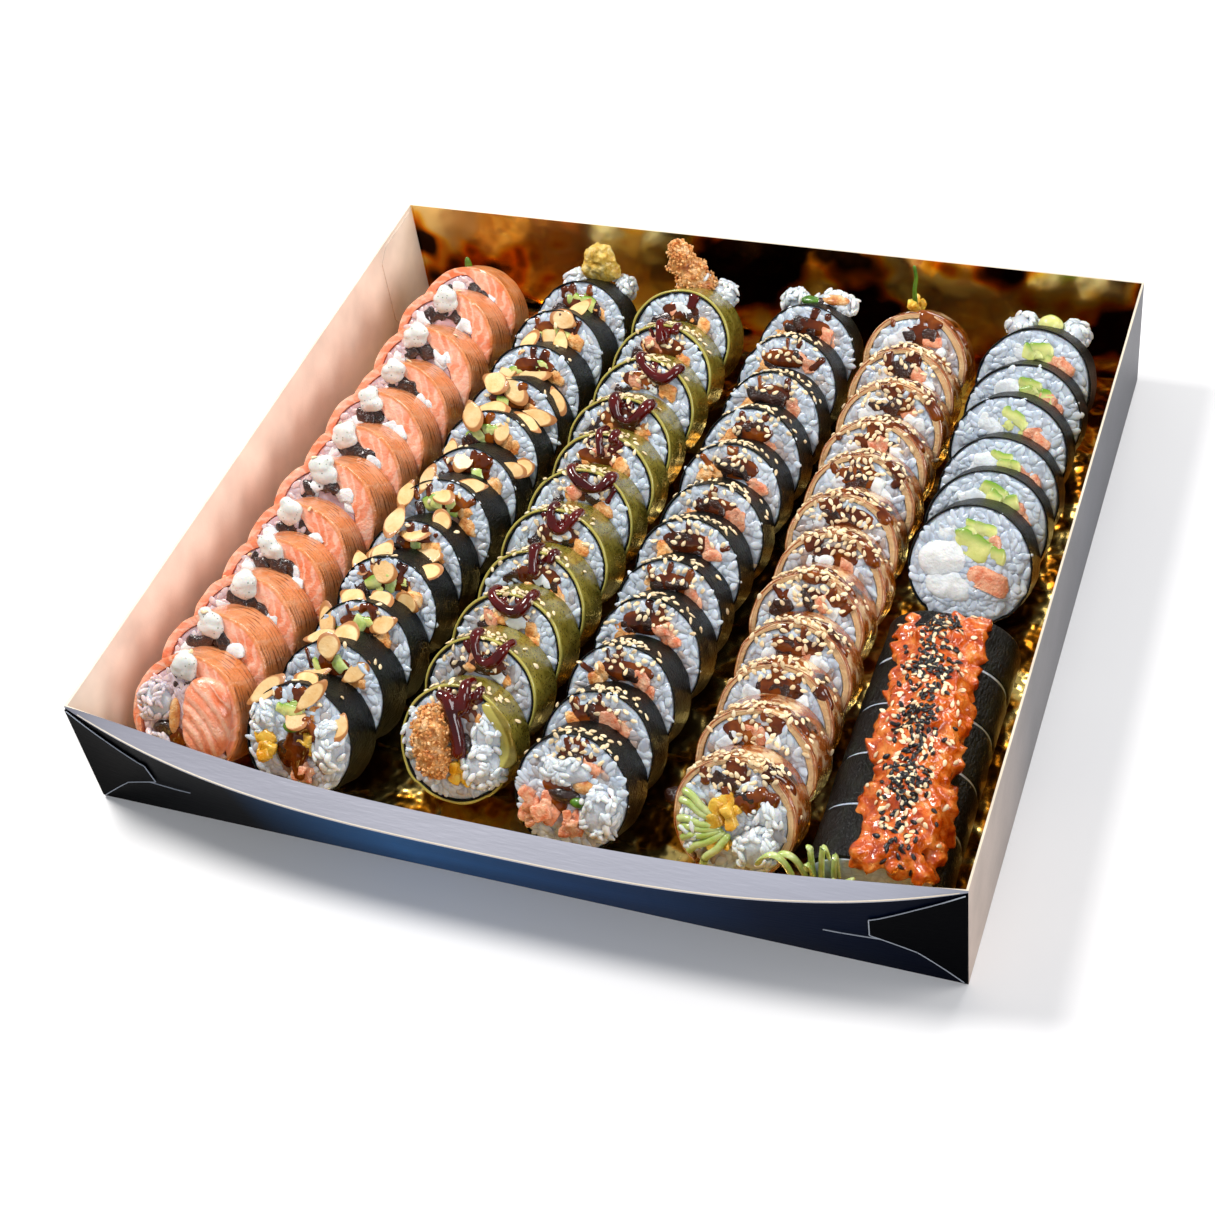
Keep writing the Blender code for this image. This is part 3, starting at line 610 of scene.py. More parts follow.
def scatter(name, model, frames, rng, rough=0.0, size=0.004):
    """Copies of a small model, one at each frame, as one joined mesh with a tone for each copy."""
    frames = np.asarray(frames)
    base = points_of(model)
    count = len(frames)
    co = (np.einsum("nij,mj->nmi", frames[:, :3, :3], base) + frames[:, None, :3, 3]).reshape(-1, 3)
    if rough:
        for axis in range(3):
            co[:, axis] += rough * wobble(co, size, axis + 5)
    corners = read(model.data.loops, "vertex_index", kind=np.int32)
    starts = read(model.data.polygons, "loop_start", kind=np.int32)
    mesh = bpy.data.meshes.new(name)
    mesh.vertices.add(len(co))
    mesh.loops.add(len(corners) * count)
    mesh.polygons.add(len(starts) * count)
    copies = np.arange(count)[:, None]
    mesh.vertices.foreach_set("co", co.astype(np.float32).ravel())
    mesh.loops.foreach_set("vertex_index", (corners[None] + copies * len(base)).astype(np.int32).ravel())
    mesh.polygons.foreach_set("loop_start", (starts[None] + copies * len(corners)).astype(np.int32).ravel())
    mesh.update(calc_edges=True)
    piece = bpy.data.objects.new(name, mesh)
    bpy.context.scene.collection.objects.link(piece)
    set_attribute(piece, "tone", np.repeat(rng.random(count), len(base)))
    set_attribute(piece, "local", np.tile(base, (count, 1)))
    return piece


class Surface:
    """The food built so far, for small things to drop on."""

    def __init__(self, pieces):
        corners, faces = [], []
        for piece in pieces:
            first = len(corners)
            corners.extend(map(tuple, points_of(piece)))
            faces.extend([first + index for index in face.vertices] for face in piece.data.polygons)
        self.tree = BVHTree.FromPolygons(corners, faces)

    def drop(self, starts):
        """Where things let go at the starts come to lie, and the surface's normals there."""
        spots, normals = [], []
        for x, y in starts[:, :2]:
            spot, normal, _, _ = self.tree.ray_cast(Vector((x, y, DROP_HEIGHT)), Vector((0, 0, -1)))
            if spot is not None:
                spots.append(tuple(spot))
                normals.append(tuple(normal if normal.z > 0 else -normal))
        return np.array(spots).reshape(-1, 3), np.array(normals).reshape(-1, 3)


# Small models that are copied many times, each about one unit long

def ball(name, segments, rings):
    deselect()
    bpy.ops.mesh.primitive_uv_sphere_add(segments=segments, ring_count=rings, radius=0.5)
    piece = bpy.context.active_object
    piece.name = name
    return piece


def grain_model():
    """A cooked grain of rice: plump, a little bent and blunter at one end."""
    piece = ball("grain", 8, 7)
    edit(piece, lambda: bpy.ops.transform.rotate(value=math.radians(90), orient_axis="Y",
                                                 center_override=(0, 0, 0)))
    co = points_of(piece)
    co[:, 1:] *= (1 - 0.22 * (co[:, 0:1] + 0.5) ** 2)
    co[:, 2] += 0.10 * np.cos(co[:, 0] * math.pi)
    set_points(piece, co)
    return piece


def seed_model():
    """A sesame seed: a flat drop, pointed at one end."""
    piece = ball("seed", 7, 5)
    edit(piece, lambda: bpy.ops.transform.rotate(value=math.radians(90), orient_axis="Y",
                                                 center_override=(0, 0, 0)))
    co = points_of(piece)
    co[:, 1:] *= (1 - 0.75 * np.clip(co[:, 0:1] + 0.1, 0, 1))
    set_points(piece, co)
    return piece


def flake_model(seed):
    """An almond flake: a thin pointed oval, a little cupped and broken."""
    deselect()
    bpy.ops.mesh.primitive_circle_add(vertices=22, radius=0.5, fill_type="NGON")
    piece = bpy.context.active_object
    edit(piece,
         lambda: bpy.ops.mesh.inset(thickness=0.10),
         lambda: bpy.ops.mesh.inset(thickness=0.18),
         lambda: bpy.ops.mesh.poke())
    co = points_of(piece)
    co[:, 1] *= 1 - 0.45 * np.clip(co[:, 0], 0, 0.5) ** 1.2 * 2
    co[:, 2] = 0.5 * co[:, 0] ** 2 + 0.22 * wobble(co, 0.6, seed)
    set_points(piece, co)
    shell = piece.modifiers.new("thick", "SOLIDIFY")
    shell.thickness = 0.34
    apply_modifiers(piece)
    return piece


def chunk_model():
    """A soft cut block: a bevelled cube, subdivided and roughened."""
    deselect()
    bpy.ops.mesh.primitive_cube_add(size=0.86)
    piece = bpy.context.active_object
    piece.name = "chunk"
    edit(piece,
         lambda: bpy.ops.mesh.bevel(offset=0.16, segments=2, affect="EDGES"),
         lambda: bpy.ops.mesh.subdivide(number_cuts=1, smoothness=0.2))
    roughen(piece, 0.06, 0.35)
    return piece


def crumb_model():
    piece = ball("crumb", 6, 4)
    roughen(piece, 0.16, 0.5, 4)
    return piece


# Slices

class Cut:
    """The plane between two slices: it leans back by tilt, turned a little about the vertical."""

    def __init__(self, y, tilt, turn):
        self.point = np.array((0.0, y, MIDDLE_HEIGHT))
        across = math.sin(turn) * math.cos(tilt)
        self.normal = np.array((across, -math.cos(turn) * math.cos(tilt), math.sin(tilt)))


def row_cuts(order, row):
    rng = random.Random(order)
    first, last = row["tops"]
    count = row["count"]
    pitch = (last - first) / (count - 1)
    rise = (FLOOR + 2 * row["size"][1] * math.cos(TILT) + pitch / 2 - MIDDLE_HEIGHT) * math.tan(TILT)
    cuts = []
    for cut in range(count + 1):
        y = first + cut * pitch - rise + rng.uniform(-1, 1) * PITCH_WANDER
        tilt = TILT + rng.uniform(-1, 1) * TILT_WANDER
        cuts.append(Cut(y, tilt, rng.uniform(-1, 1) * TURN_WANDER))
    return cuts


class Slice:
    """One round of a roll between two cuts."""

    def __init__(self, row, front, back, rng, index, joined):
        self.index = index
        self.first = index == 0
        self.half_width, self.half_height = row["size"]
        self.front = front
        self.back = back
        self.joined = joined
        self.rng = rng
        axis = (front.normal + back.normal) / 2
        self.axis = axis / np.linalg.norm(axis)
        across = np.cross((0, 0, 1), self.axis)
        self.across = across / np.linalg.norm(across)
        self.up = np.cross(self.axis, self.across)
        self.phases = [rng.uniform(0, math.tau) for _ in range(3)]
        share = (front.point[1] - ROW_START) / (ROW_END - ROW_START)
        x = row["x"][0] + (row["x"][1] - row["x"][0]) * share + rng.uniform(-1, 1) * SIDE_WANDER
        self.centre = np.array((x, front.point[1], MIDDLE_HEIGHT))
        angles = np.arange(SLICE_SIDES) * math.tau / SLICE_SIDES
        lowest = self.spot(angles, 1.0, 1.0)[:, 2].min()
        self.centre = self.centre + self.up * ((FLOOR - lowest) / self.up[2])

    def spot(self, angle, share=1.0, depth=0.0, lift=0.0):
        """Points of the slice: angle from its top, share of its rim, depth front to back, lift out of the face."""
        angle, share, depth, lift = np.broadcast_arrays(angle, share, depth, lift)
        two, three, five = self.phases
        uneven = np.cos(2 * angle + two) + np.cos(3 * angle + three) + 0.6 * np.cos(5 * angle + five)
        reach = share * (1 - UNEVEN + UNEVEN * 0.4 * uneven)
        flat = np.where(np.cos(angle) < FOOT_COSINE, FOOT_SHARE, 1.0)
        sideways = (self.half_width * reach * np.sin(angle))[..., None] * self.across
        upward = (self.half_height * reach * flat * np.cos(angle))[..., None] * self.up
        start = self.centre + sideways + upward
        gap = -JOIN_DEPTH if self.joined else SLICE_GAP / 2
        ahead = ((self.front.point - start) @ self.front.normal - SLICE_GAP / 2) / (self.axis @ self.front.normal)
        behind = ((self.back.point - start) @ self.back.normal + gap) / (self.axis @ self.back.normal)
        return start + SHIFT + self.axis * (ahead + (behind - ahead) * depth + lift)[..., None]

    def polar(self, offset):
        """The angle and share of the rim of a place on the face, given across and up from its middle."""
        across, up = offset[0] / self.half_width, offset[1] / self.half_height
        return math.atan2(across, up), math.hypot(across, up)

    def length_round(self, angle):
        return angle * (self.half_width + self.half_height) / 2

    def thickness(self):
        return abs((self.front.point - self.back.point) @ self.axis)


def make_slices():
    slices = {}
    for order, (name, row) in enumerate(ROWS.items()):
        cuts = row_cuts(order, row)
        slices[name] = []
        for index in range(row["count"]):
            rng = random.Random(100 * order + index)
            joined = index in row["pairs"]
            slices[name].append(Slice(row, cuts[index], cuts[index + 1], rng, index, joined))
    return slices


def nodes_of(name):
    return [node for node in sorted(frame["nodes"]) if node.startswith(name + "_slice")]


def salmon_depth(angle):
    """The inner edge of the salmon, as a share of the rim: it lies folded double on the right."""
    right = np.clip((angle + 0.15) / 0.6, 0, 1) * np.clip((2.3 - angle) / 0.5, 0, 1)
    return 0.83 - 0.26 * right * right * (3 - 2 * right)


def seared_depth(angle):
    """The inner edge of the seared fish."""
    return 0.875 - 0.05 * np.clip(np.sin(angle), 0, 1) + 0.012 * np.sin(5 * angle)


def ring(piece, outer, inner, half_arc, relief, relief_size, taper):
    """A band round a slice, closed all round: its outside, front lip, inside and back.

    outer and inner are shares of the rim; inner may be a rule by angle. The band reaches half_arc to both sides
    of the top, and taper thins it towards both ends.
    """
    outline = [(1.0, 1.0 - step / 12) for step in range(12)]
    outline += [(1.0, 0.03), (0.97, 0.004), (0.8, -0.008), (0.6, -0.010), (0.4, -0.010), (0.2, -0.008), (0.05, 0.0)]
    outline += [(0.0, 0.04), (0.0, 0.33), (0.0, 0.66), (0.0, 1.0), (1.0, 1.0)]
    shares, depth_steps = np.array(outline).T

    def place(u, v):
        angle = -half_arc + 2 * half_arc * u
        step = v * (len(outline) - 1)
        out = np.interp(step, np.arange(len(outline)), shares)
        depth = np.interp(step, np.arange(len(outline)), depth_steps)
        deep = inner(angle) if callable(inner) else inner
        thin = 1.0
        if taper:
            thin = np.clip(np.minimum(u, 1 - u) * (2 * half_arc) / taper, 0, 1) ** 0.5
        share = outer + (deep - outer) * (1 - out) * thin
        base = piece.spot(angle, share, depth)
        flow = np.stack((piece.length_round(angle), depth * piece.thickness(), share), 1)
        if relief:
            bumps = wobble(base, relief_size, piece.index) + 0.5 * wobble(base, relief_size * 0.4, piece.index + 40)
            base = piece.spot(angle, share - relief * (bumps + 1.2) * 0.45 * out, depth)
        edge = wobble(piece.spot(angle, 1.0, 0.0), 0.006, piece.index + 9)
        rolled = wobble(piece.spot(angle, share, 0.0), 0.0022, piece.index + 13)
        base = base + piece.axis * ((edge * LIP_WANDER + rolled * LIP_ROUGH) * np.clip(1 - depth * 4, 0, 1))[:, None]
        return base, flow

    return sheet("ring", BAND_COLUMNS, len(outline) - 1, place)


def plug(piece, rim, stain, bulge):
    """The rice of a slice: a closed round with a grainy front face."""
    outline = [(0.0, 1.0), (0.5, 1.0), (0.93, 1.0), (1.0, 0.96), (1.0, 0.7), (1.0, 0.4), (1.0, 0.14), (1.0, 0.06)]
    outline += [(0.985, 0.025)]
    outline += [(share, 0.02) for share in np.linspace(0.95, 0.0, 17)]
    shares, depth_steps = np.array(outline).T

    def place(u, v):
        angle = math.tau * (u - 0.5)
        step = v * (len(outline) - 1)
        part = np.interp(step, np.arange(len(outline)), shares)
        depth = np.interp(step, np.arange(len(outline)), depth_steps)
        share = part * rim(angle)
        base = piece.spot(angle, share, depth)
        bumps = wobble(base, 0.0026, 1) + 0.7 * wobble(base, 0.0045, 2)
        lift = np.where(step > 8, bumps * RICE_ROUGH + bulge * (1 - part**2), 0.0)
        return base + piece.axis * lift[:, None], np.stack((angle * 0.02, depth, share), 1)

    made = sheet("plug", RICE_COLUMNS, len(outline) - 1, place)
    share = read(made.data.attributes["flow"].data, "vector", 3)[:, 2]
    set_attribute(made, "stain", stain(points_of(made), share))
    return made


def lump(name, spot, axes, half, rough=0.08, size=0.006, seed=0, segments=24, rings=14):
    """A soft uneven lump: axes are its three directions and half its three half sizes."""
    piece = ball(name, segments, rings)
    co = points_of(piece) * 2 * np.asarray(half)
    set_points(piece, np.asarray(spot) + co @ np.asarray(axes))
    roughen(piece, rough * min(half), size, seed)
    return piece


def smooth_path(points, count, passes=4):
    points = np.asarray(points, float)
    share = np.linspace(0, len(points) - 1, count)
    path = np.stack([np.interp(share, np.arange(len(points)), points[:, axis]) for axis in range(3)], 1)
    for _ in range(passes):
        path[1:-1] = (path[:-2] + 2 * path[1:-1] + path[2:]) / 4
    return path


def strand(name, points, radius, count=24, sides=10, flat=1.0, rough=0.0):
    """A strand along points, rounded at both ends; radius is one value or one for each point."""
    path = smooth_path(points, count)
    steps = np.linalg.norm(np.diff(path, axis=0), axis=1)
    way = np.gradient(path, axis=0)
    way /= np.linalg.norm(way, axis=1)[:, None]
    side = np.cross(way, (0.31, 0.22, 0.93))
    side /= np.linalg.norm(side, axis=1)[:, None]
    other = np.cross(side, way)
    radii = np.atleast_1d(radius)

    def place(u, v):
        at = 0.5 - 0.5 * np.cos(v * math.pi)
        middle, one, two = (along_path(line, at) for line in (path, side, other))
        thick = along(radii, at)
        near = np.clip(np.minimum(at, 1 - at) * steps.sum() / thick, 0, 1)
        thick = thick * np.sqrt(np.clip(1 - (1 - near) ** 2, 0, 1))
        turn = u * math.tau
        if rough:
            thick = thick * (1 + rough * wobble(middle + one * np.sin(turn)[:, None] * 0.002, 0.003))
        points = middle + one * (thick * np.cos(turn))[:, None] + two * (thick * flat * np.sin(turn))[:, None]
        return points, np.stack((turn * 0.01, at, v), 1)

    return sheet(name, sides, count, place)


def melt(name, pieces, voxel, passes):
    """Runs pieces together into one wet body."""
    piece = join(name, pieces)
    grid = piece.modifiers.new("melt", "REMESH")
    grid.mode = "VOXEL"
    grid.voxel_size = voxel
    even = piece.modifiers.new("even", "SMOOTH")
    even.factor = 0.5
    even.iterations = passes
    apply_modifiers(piece)
    return piece


# Rows of slices. A band: slot, outer and inner share of the rim, half its arc, relief, its size, and taper.
BANDS = {
    "salmon": (("salmon", 1.0, salmon_depth, 128, 0.026, 0.006, 0.5),),
    "almond": (("nori", 1.0, 0.962, 180, 0.028, 0.005, 0.0),),
    "wrapped": (("wrap", 1.0, 0.945, 180, 0.018, 0.007, 0.0), ("nori", 0.944, 0.912, 180, 0.0, 0.005, 0.0)),
    "sesame": (("nori", 1.0, 0.962, 180, 0.028, 0.005, 0.0),),
    "seared": (("seared", 1.0, seared_depth, 148, 0.030, 0.006, 0.5),),
    "avocado": (("nori", 1.0, 0.962, 180, 0.022, 0.005, 0.0),),
}

# Fillings of a cut face, from left to right.
PALETTES = {
    "salmon": ("cheese", "mushroom", "mushroom", "mushroom", "cheese"),
    "almond": ("mushroom", "avocado", "avocado", "cucumber", "mushroom", "tempura"),
    "wrapped": ("mushroom", "tempura", "fish", "cheese", "mushroom", "tempura"),
    "sesame": ("tempura", "mushroom", "mushroom", "mushroom", "fish", "fish"),
    "seared": ("cheese", "mushroom", "cheese", "mushroom", "fish", "cheese"),
    "avocado": ("cheese", "cheese", "avocado", "avocado", "avocado", "fish"),
}
FILLING_DEPTH = 0.0058

# Larger fillings of a cut face: what it is, angle, share of the rim, width and height.
WEDGES = {
    "avocado": (("cheese", -0.62, 0.58, (0.0105, 0.0085)), ("avocado", 0.10, 0.64, (0.0120, 0.0068)),
                ("fish", 0.72, 0.56, (0.0088, 0.0070))),
    "almond": (("avocado", 0.08, 0.62, (0.0085, 0.0056)),),
    "sesame": (("mushroom", -0.12, 0.60, (0.0092, 0.0064)),),
    "wrapped": (("cheese", 0.40, 0.60, (0.0050, 0.0040)),),
}

# What spills from the front cut: what it is, how far across and up its face, lift and half sizes, in millimetres.
FRONT_ENDS = {
    "salmon": (("pink_rice", -12.5, 4.5, 1.0, (7.0, 7.0, 3.4)), ("mushroom", -8.0, -6.0, 1.0, (5.0, 3.6, 2.6)),
               ("pink_rice", -10.0, -11.5, 0.8, (7.0, 5.0, 3.0)), ("tempura", -4.0, 0.0, 1.6, (2.2, 7.0, 2.0)),
               ("glaze", -3.0, -9.0, 0.8, (4.2, 5.0, 2.2))),
    "almond": (("mango", -11.5, -4.5, 2.0, (5.0, 7.5, 4.6)), ("rice", 13.0, 1.0, 1.0, (6.0, 9.0, 4.0)),
               ("mango", 2.5, 1.0, 1.0, (5.0, 4.6, 3.0)), ("herb", -1.5, 6.0, 2.6, (3.8, 2.2, 1.8)),
               ("mushroom", -3.5, -3.0, 1.0, (4.6, 4.0, 2.6)), ("rice", -13.5, 7.5, 0.6, (5.0, 5.5, 3.0)),
               ("fish", 3.0, -9.0, 1.0, (5.0, 5.0, 3.0))),
    "wrapped": (("rice", 12.0, -5.0, 1.0, (8.0, 8.0, 4.0)), ("mango", 4.0, -8.5, 1.6, (5.0, 4.6, 3.0)),
                ("rice", -15.5, 2.0, 0.4, (4.6, 8.0, 2.8)), ("rice", 12.5, 6.5, 0.6, (5.5, 6.0, 3.0)),
                ("mushroom", 3.5, 1.0, 0.8, (4.0, 5.0, 2.4))),
    "sesame": (("fish", -10.5, -7.0, 1.5, (7.5, 7.5, 4.4)), ("rice", 11.5, -3.5, 1.5, (6.5, 8.5, 4.4)),
               ("fish", 3.0, -9.5, 1.4, (6.0, 6.0, 4.0)), ("rice", -2.0, 8.5, 0.8, (9.5, 4.6, 3.0)),
               ("mushroom", -2.0, 0.0, 0.9, (6.4, 3.2, 2.6)), ("herb", 4.0, -1.5, 2.6, (3.0, 1.8, 1.6)),
               ("glaze", -5.0, 2.5, 0.8, (6.0, 3.0, 2.0)), ("tempura", 5.0, 4.0, 1.0, (4.2, 2.6, 2.0))),
    "seared": (("mango", -2.0, 3.0, 2.2, (6.5, 6.2, 4.6)), ("rice", 9.0, -8.0, 1.8, (7.0, 7.5, 4.6)),
               ("mushroom", -22.5, 1.0, -9.0, (5.8, 3.4, 3.8)), ("mango", -4.0, -8.0, 1.4, (5.0, 4.6, 3.4)),
               ("rice", -13.5, -4.0, 0.8, (5.0, 8.0, 3.0)), ("rice", 12.0, 4.5, 0.6, (5.0, 5.0, 2.8)),
               ("mushroom", 5.0, 9.0, 0.6, (6.0, 3.0, 2.4))),
    "avocado": (("cream_bed", -10.0, 1.5, 0.2, (9.5, 8.0, 2.2)), ("cream_bed", -6.0, -8.0, 0.2, (9.5, 6.0, 2.0)),
                ("wedge", 0.5, 8.0, -0.6, (7.6, 5.6, 2.8)), ("wedge", 10.0, 5.5, -0.8, (3.6, 4.2, 2.6)),
                ("cut_fish", 8.0, -4.5, -0.6, (9.0, 5.0, 2.8))),
}

# What stands behind the last slice: what it is, offset from its top and half sizes in millimetres.
BACK_ENDS = {
    "salmon": (("herb", (-8, 0, -2), (1.7, 1.7, 5.2)),),
    "almond": (("rice", (-11, 1, -5), (6.0, 5.6, 5.6)), ("rice", (11, 1, -5), (4.8, 5.2, 5.6))),
    "wrapped": (("rice", (-2, 0, 0), (7.4, 5.1, 6.8)), ("rice", (10, 1, -4), (5.6, 5.6, 5.6)),
                ("mango", (-6, -5, -1), (3.6, 2.8, 3.2))),
    "sesame": (("rice", (6, 0, -1), (9.2, 5.5, 4.6)), ("rice", (-11, 1, -4), (6.0, 5.6, 6.4)),
               ("herb", (-3, -3, 2.0), (4.6, 2.4, 1.8)), ("tempura", (7, -2, 2.8), (6.0, 3.0, 1.8)),
               ("mushroom", (1, -3, 1.5), (3.0, 2.2, 1.8))),
    "seared": (("mango", (-6, 0, 1), (4.3, 3.8, 4.3)),),
    "avocado": (("avocado", (1, 0, -1), (5.2, 4.2, 4.7)), ("rice", (-10, 1, -4), (7.0, 6.0, 5.6)),
                ("rice", (11, 1, -5), (5.6, 6.0, 5.6))),
}


# How far each row's rice is stained, and what chunks and slots stand for other names.
STAINS = {"salmon": 0.75, "almond": 0.8, "wrapped": 0.7, "sesame": 0.65, "seared": 0.8, "avocado": 0.0}
CUTS = {"wedge": "avocado", "cut_fish": "fish"}
SLOTS = {"glaze": "sauce", "pink_rice": "rice", "cheese": "cream", "batter": "tempura",
         "loose_rice": "rice", "clump_bed": "rice", "cream_bed": "cream"}


def stain_rule(name):
    """How far sauce, or the salmon's fat, has soaked into the rice at a place and share of the rim."""
    strength = STAINS[name]

    def rule(spots, share):
        patches = wobble(spots, 0.005, 21) + 0.4 * wobble(spots, 0.0018, 22)
        if name == "salmon":
            return np.clip(strength + 0.25 * patches, 0, 1)
        inward = np.clip((0.90 - share) / 0.20, 0, 1)
        return np.clip((patches + 0.05) * 1.4, 0, 1) * inward * strength

    return rule


def cover_of(piece, ahead):
    """How far down its face, as a share of its height, the slice ahead begins to hide it."""
    if ahead is None:
        return 9.0
    return float((piece.centre - ahead.centre) @ piece.up) / piece.half_height


def bare(angle, share, cover, margin=0.0):
    """Which places of a face the slice ahead leaves bare."""
    return (share * np.sin(angle)) ** 2 + (share * np.cos(angle) + cover) ** 2 > 1 - margin


def rice_rim(name):
    """The edge of the rice by angle: inside the bands, and out to the rim where they stop."""
    inner = BANDS[name][-1][2]
    arc = math.radians(BANDS[name][0][3])

    def rim(angle):
        edge = inner(angle) if callable(inner) else np.full(np.shape(angle), inner)
        past = np.clip((np.abs(angle) - arc + 0.15) / 0.3, 0, 1) if arc < 3 else 0.0
        return (edge - 0.004) * (1 - past) + 0.975 * past

    return rim


def grain_frames(piece, cover, rim, stain, rng, bulge):
    """Pressed grains all over the bare rice of a face, in rough rings, with their stains."""
    spots = []
    shares = []
    for share in np.arange(0.06 if piece.first else 0.60, 0.97, 0.080):
        around = max(5, int(math.tau * share * piece.half_width / 0.0030))
        angle = (np.arange(around) + rng.uniform(0, 1)) / around * math.tau - math.pi
        angle = angle + rng.normal(0, 0.07, around)
        at = share + rng.normal(0, 0.028, around)
        keep = bare(angle, at, cover, 0.12) & (at < rim(angle) - 0.060)
        lift = bulge * (1 - (at / rim(angle)) ** 2)
        height = lift[keep] - 0.00026 + rng.normal(0, 0.00010, keep.sum())
        spots.append(piece.spot(angle[keep], at[keep], 0.0, height))
        shares.append(at[keep])
    spots = np.concatenate(spots)
    size = np.array(PRESSED) * rng.uniform(0.75, 1.25, (len(spots), 3))
    frames = frames_on(spots, np.tile(piece.axis, (len(spots), 1)), rng, size, 0.05)
    return frames, stain(spots, np.concatenate(shares))


def clump_frames(spot, axes, half, rng, spacing=0.0000085):
    """Grains all over a lump of rice."""
    half = np.asarray(half)
    area = 4 * math.pi * ((half[0] * half[1] + half[0] * half[2] + half[1] * half[2]) / 3)
    way = rng.normal(size=(max(8, int(area / spacing)), 3))
    way /= np.linalg.norm(way, axis=1)[:, None]
    out = way / half
    out /= np.linalg.norm(out, axis=1)[:, None]
    spots = np.asarray(spot) + (way * half) @ axes
    size = np.array(GRAIN) * rng.uniform(0.78, 1.12, (len(spots), 3))
    return frames_on(spots, out @ axes, rng, size, 0.3)


def oriented(spot, axes, sizes, rng, turn=0.35):
    """A frame for one chunk: axes turned a little about the last one, and scaled."""
    angle = rng.uniform(-turn, turn)
    one = axes[0] * math.cos(angle) + axes[1] * math.sin(angle)
    two = np.cross(axes[2], one)
    frame = np.eye(4)
    frame[:3, 0] = one * sizes[0]
    frame[:3, 1] = two * sizes[1]
    frame[:3, 2] = axes[2] * sizes[2]
    frame[:3, 3] = spot
    return frame


class Kitchen:
    """Collects the chunks, lumps and grains of a row by what they are made of."""

    def __init__(self, rng):
        self.rng = rng
        self.chunks = {}
        self.lumps = {}
        self.grains = {}

    def grain(self, kind, frames, stain):
        self.grains.setdefault(kind, []).append((frames, stain))

    def chunk(self, slot, spot, axes, sizes, turn=0.35):
        frame = oriented(spot, axes, sizes, self.rng, turn)
        self.chunks.setdefault(slot, []).append(frame)

    def lump(self, slot, spot, axes, half):
        if slot in ("rice", "pink_rice"):
            frames = clump_frames(spot, axes, half, self.rng)
            self.grain("loose", frames, np.full(len(frames), 0.5 if slot == "pink_rice" else 0.0))
            bed = lump("bed", spot, axes, np.asarray(half) * 0.94, 0.10)
            set_attribute(bed, "stain", np.zeros(len(bed.data.vertices)))
            self.lumps.setdefault("clump_bed", []).append(bed)
        elif slot in ("mango", "fish"):
            self.pile(slot, spot, axes, half)
        elif slot in CUTS:
            self.chunk(CUTS[slot], spot, axes, np.asarray(half) * 2, 0.5)
        else:
            rough = {"mushroom": 0.18, "glaze": 0.32, "cream_bed": 0.30}.get(slot, 0.10)
            piece = lump("lump", spot, axes, half, rough, 0.004, self.rng.integers(90))
            set_attribute(piece, "local", (points_of(piece) - spot) @ np.asarray(axes).T / np.asarray(half) / 2)
            self.lumps.setdefault(slot, []).append(piece)

    def pile(self, slot, spot, axes, half):
        """A heap of soft cut blocks in place of one lump."""
        half = np.asarray(half)
        for _ in range(12):
            away = self.rng.uniform(-0.66, 0.66, 3)
            spread = self.rng.uniform(0.55, 1.0, 3)
            self.chunk(slot, spot + (away * half) @ axes, axes, half * spread * 1.05, 1.5)


def fill_core(piece, name, kitchen, rng):
    """The cut fillings of a slice, side by side along the arc that the slice ahead leaves bare."""
    palette = list(PALETTES[name])
    if rng.random() < 0.4:
        swap = int(rng.integers(1, len(palette) - 1))
        palette[swap], palette[swap - 1] = palette[swap - 1], palette[swap]
    sway = rng.normal(0, 0.09)
    axes = np.array((piece.across, piece.up, piece.axis))
    if name not in ("salmon", "avocado"):
        half = np.array((0.0092, 0.0042, 0.0010)) * rng.uniform(0.8, 1.15, 3)
        kitchen.lump("glaze", piece.spot(sway, 0.57, 0.0, 0.0001), axes, half)
    count = 9
    for step in range(count):
        part = step / (count - 1)
        slot = palette[min(int(part * len(palette)), len(palette) - 1)]
        angle = sway + (part - 0.5) * 1.9 + rng.normal(0, 0.06)
        share = 0.565 + rng.normal(0, 0.032)
        sizes = np.array((0.0070, 0.0068, FILLING_DEPTH)) * rng.uniform(0.70, 1.25, 3)
        spot = piece.spot(angle, share, 0.0, rng.uniform(-0.0002, 0.0009) - FILLING_DEPTH * 0.36)
        kitchen.chunk(slot, spot, axes, sizes, 0.8)
    for slot, angle, share, size in WEDGES.get(name, ()):
        spot = piece.spot(angle + rng.normal(0, 0.08), share, 0.0, 0.0005 - FILLING_DEPTH * 0.36)
        sizes = np.array((*size, FILLING_DEPTH)) * rng.uniform(0.8, 1.12, 3)
        kitchen.chunk(slot, spot, axes, sizes, 0.45)


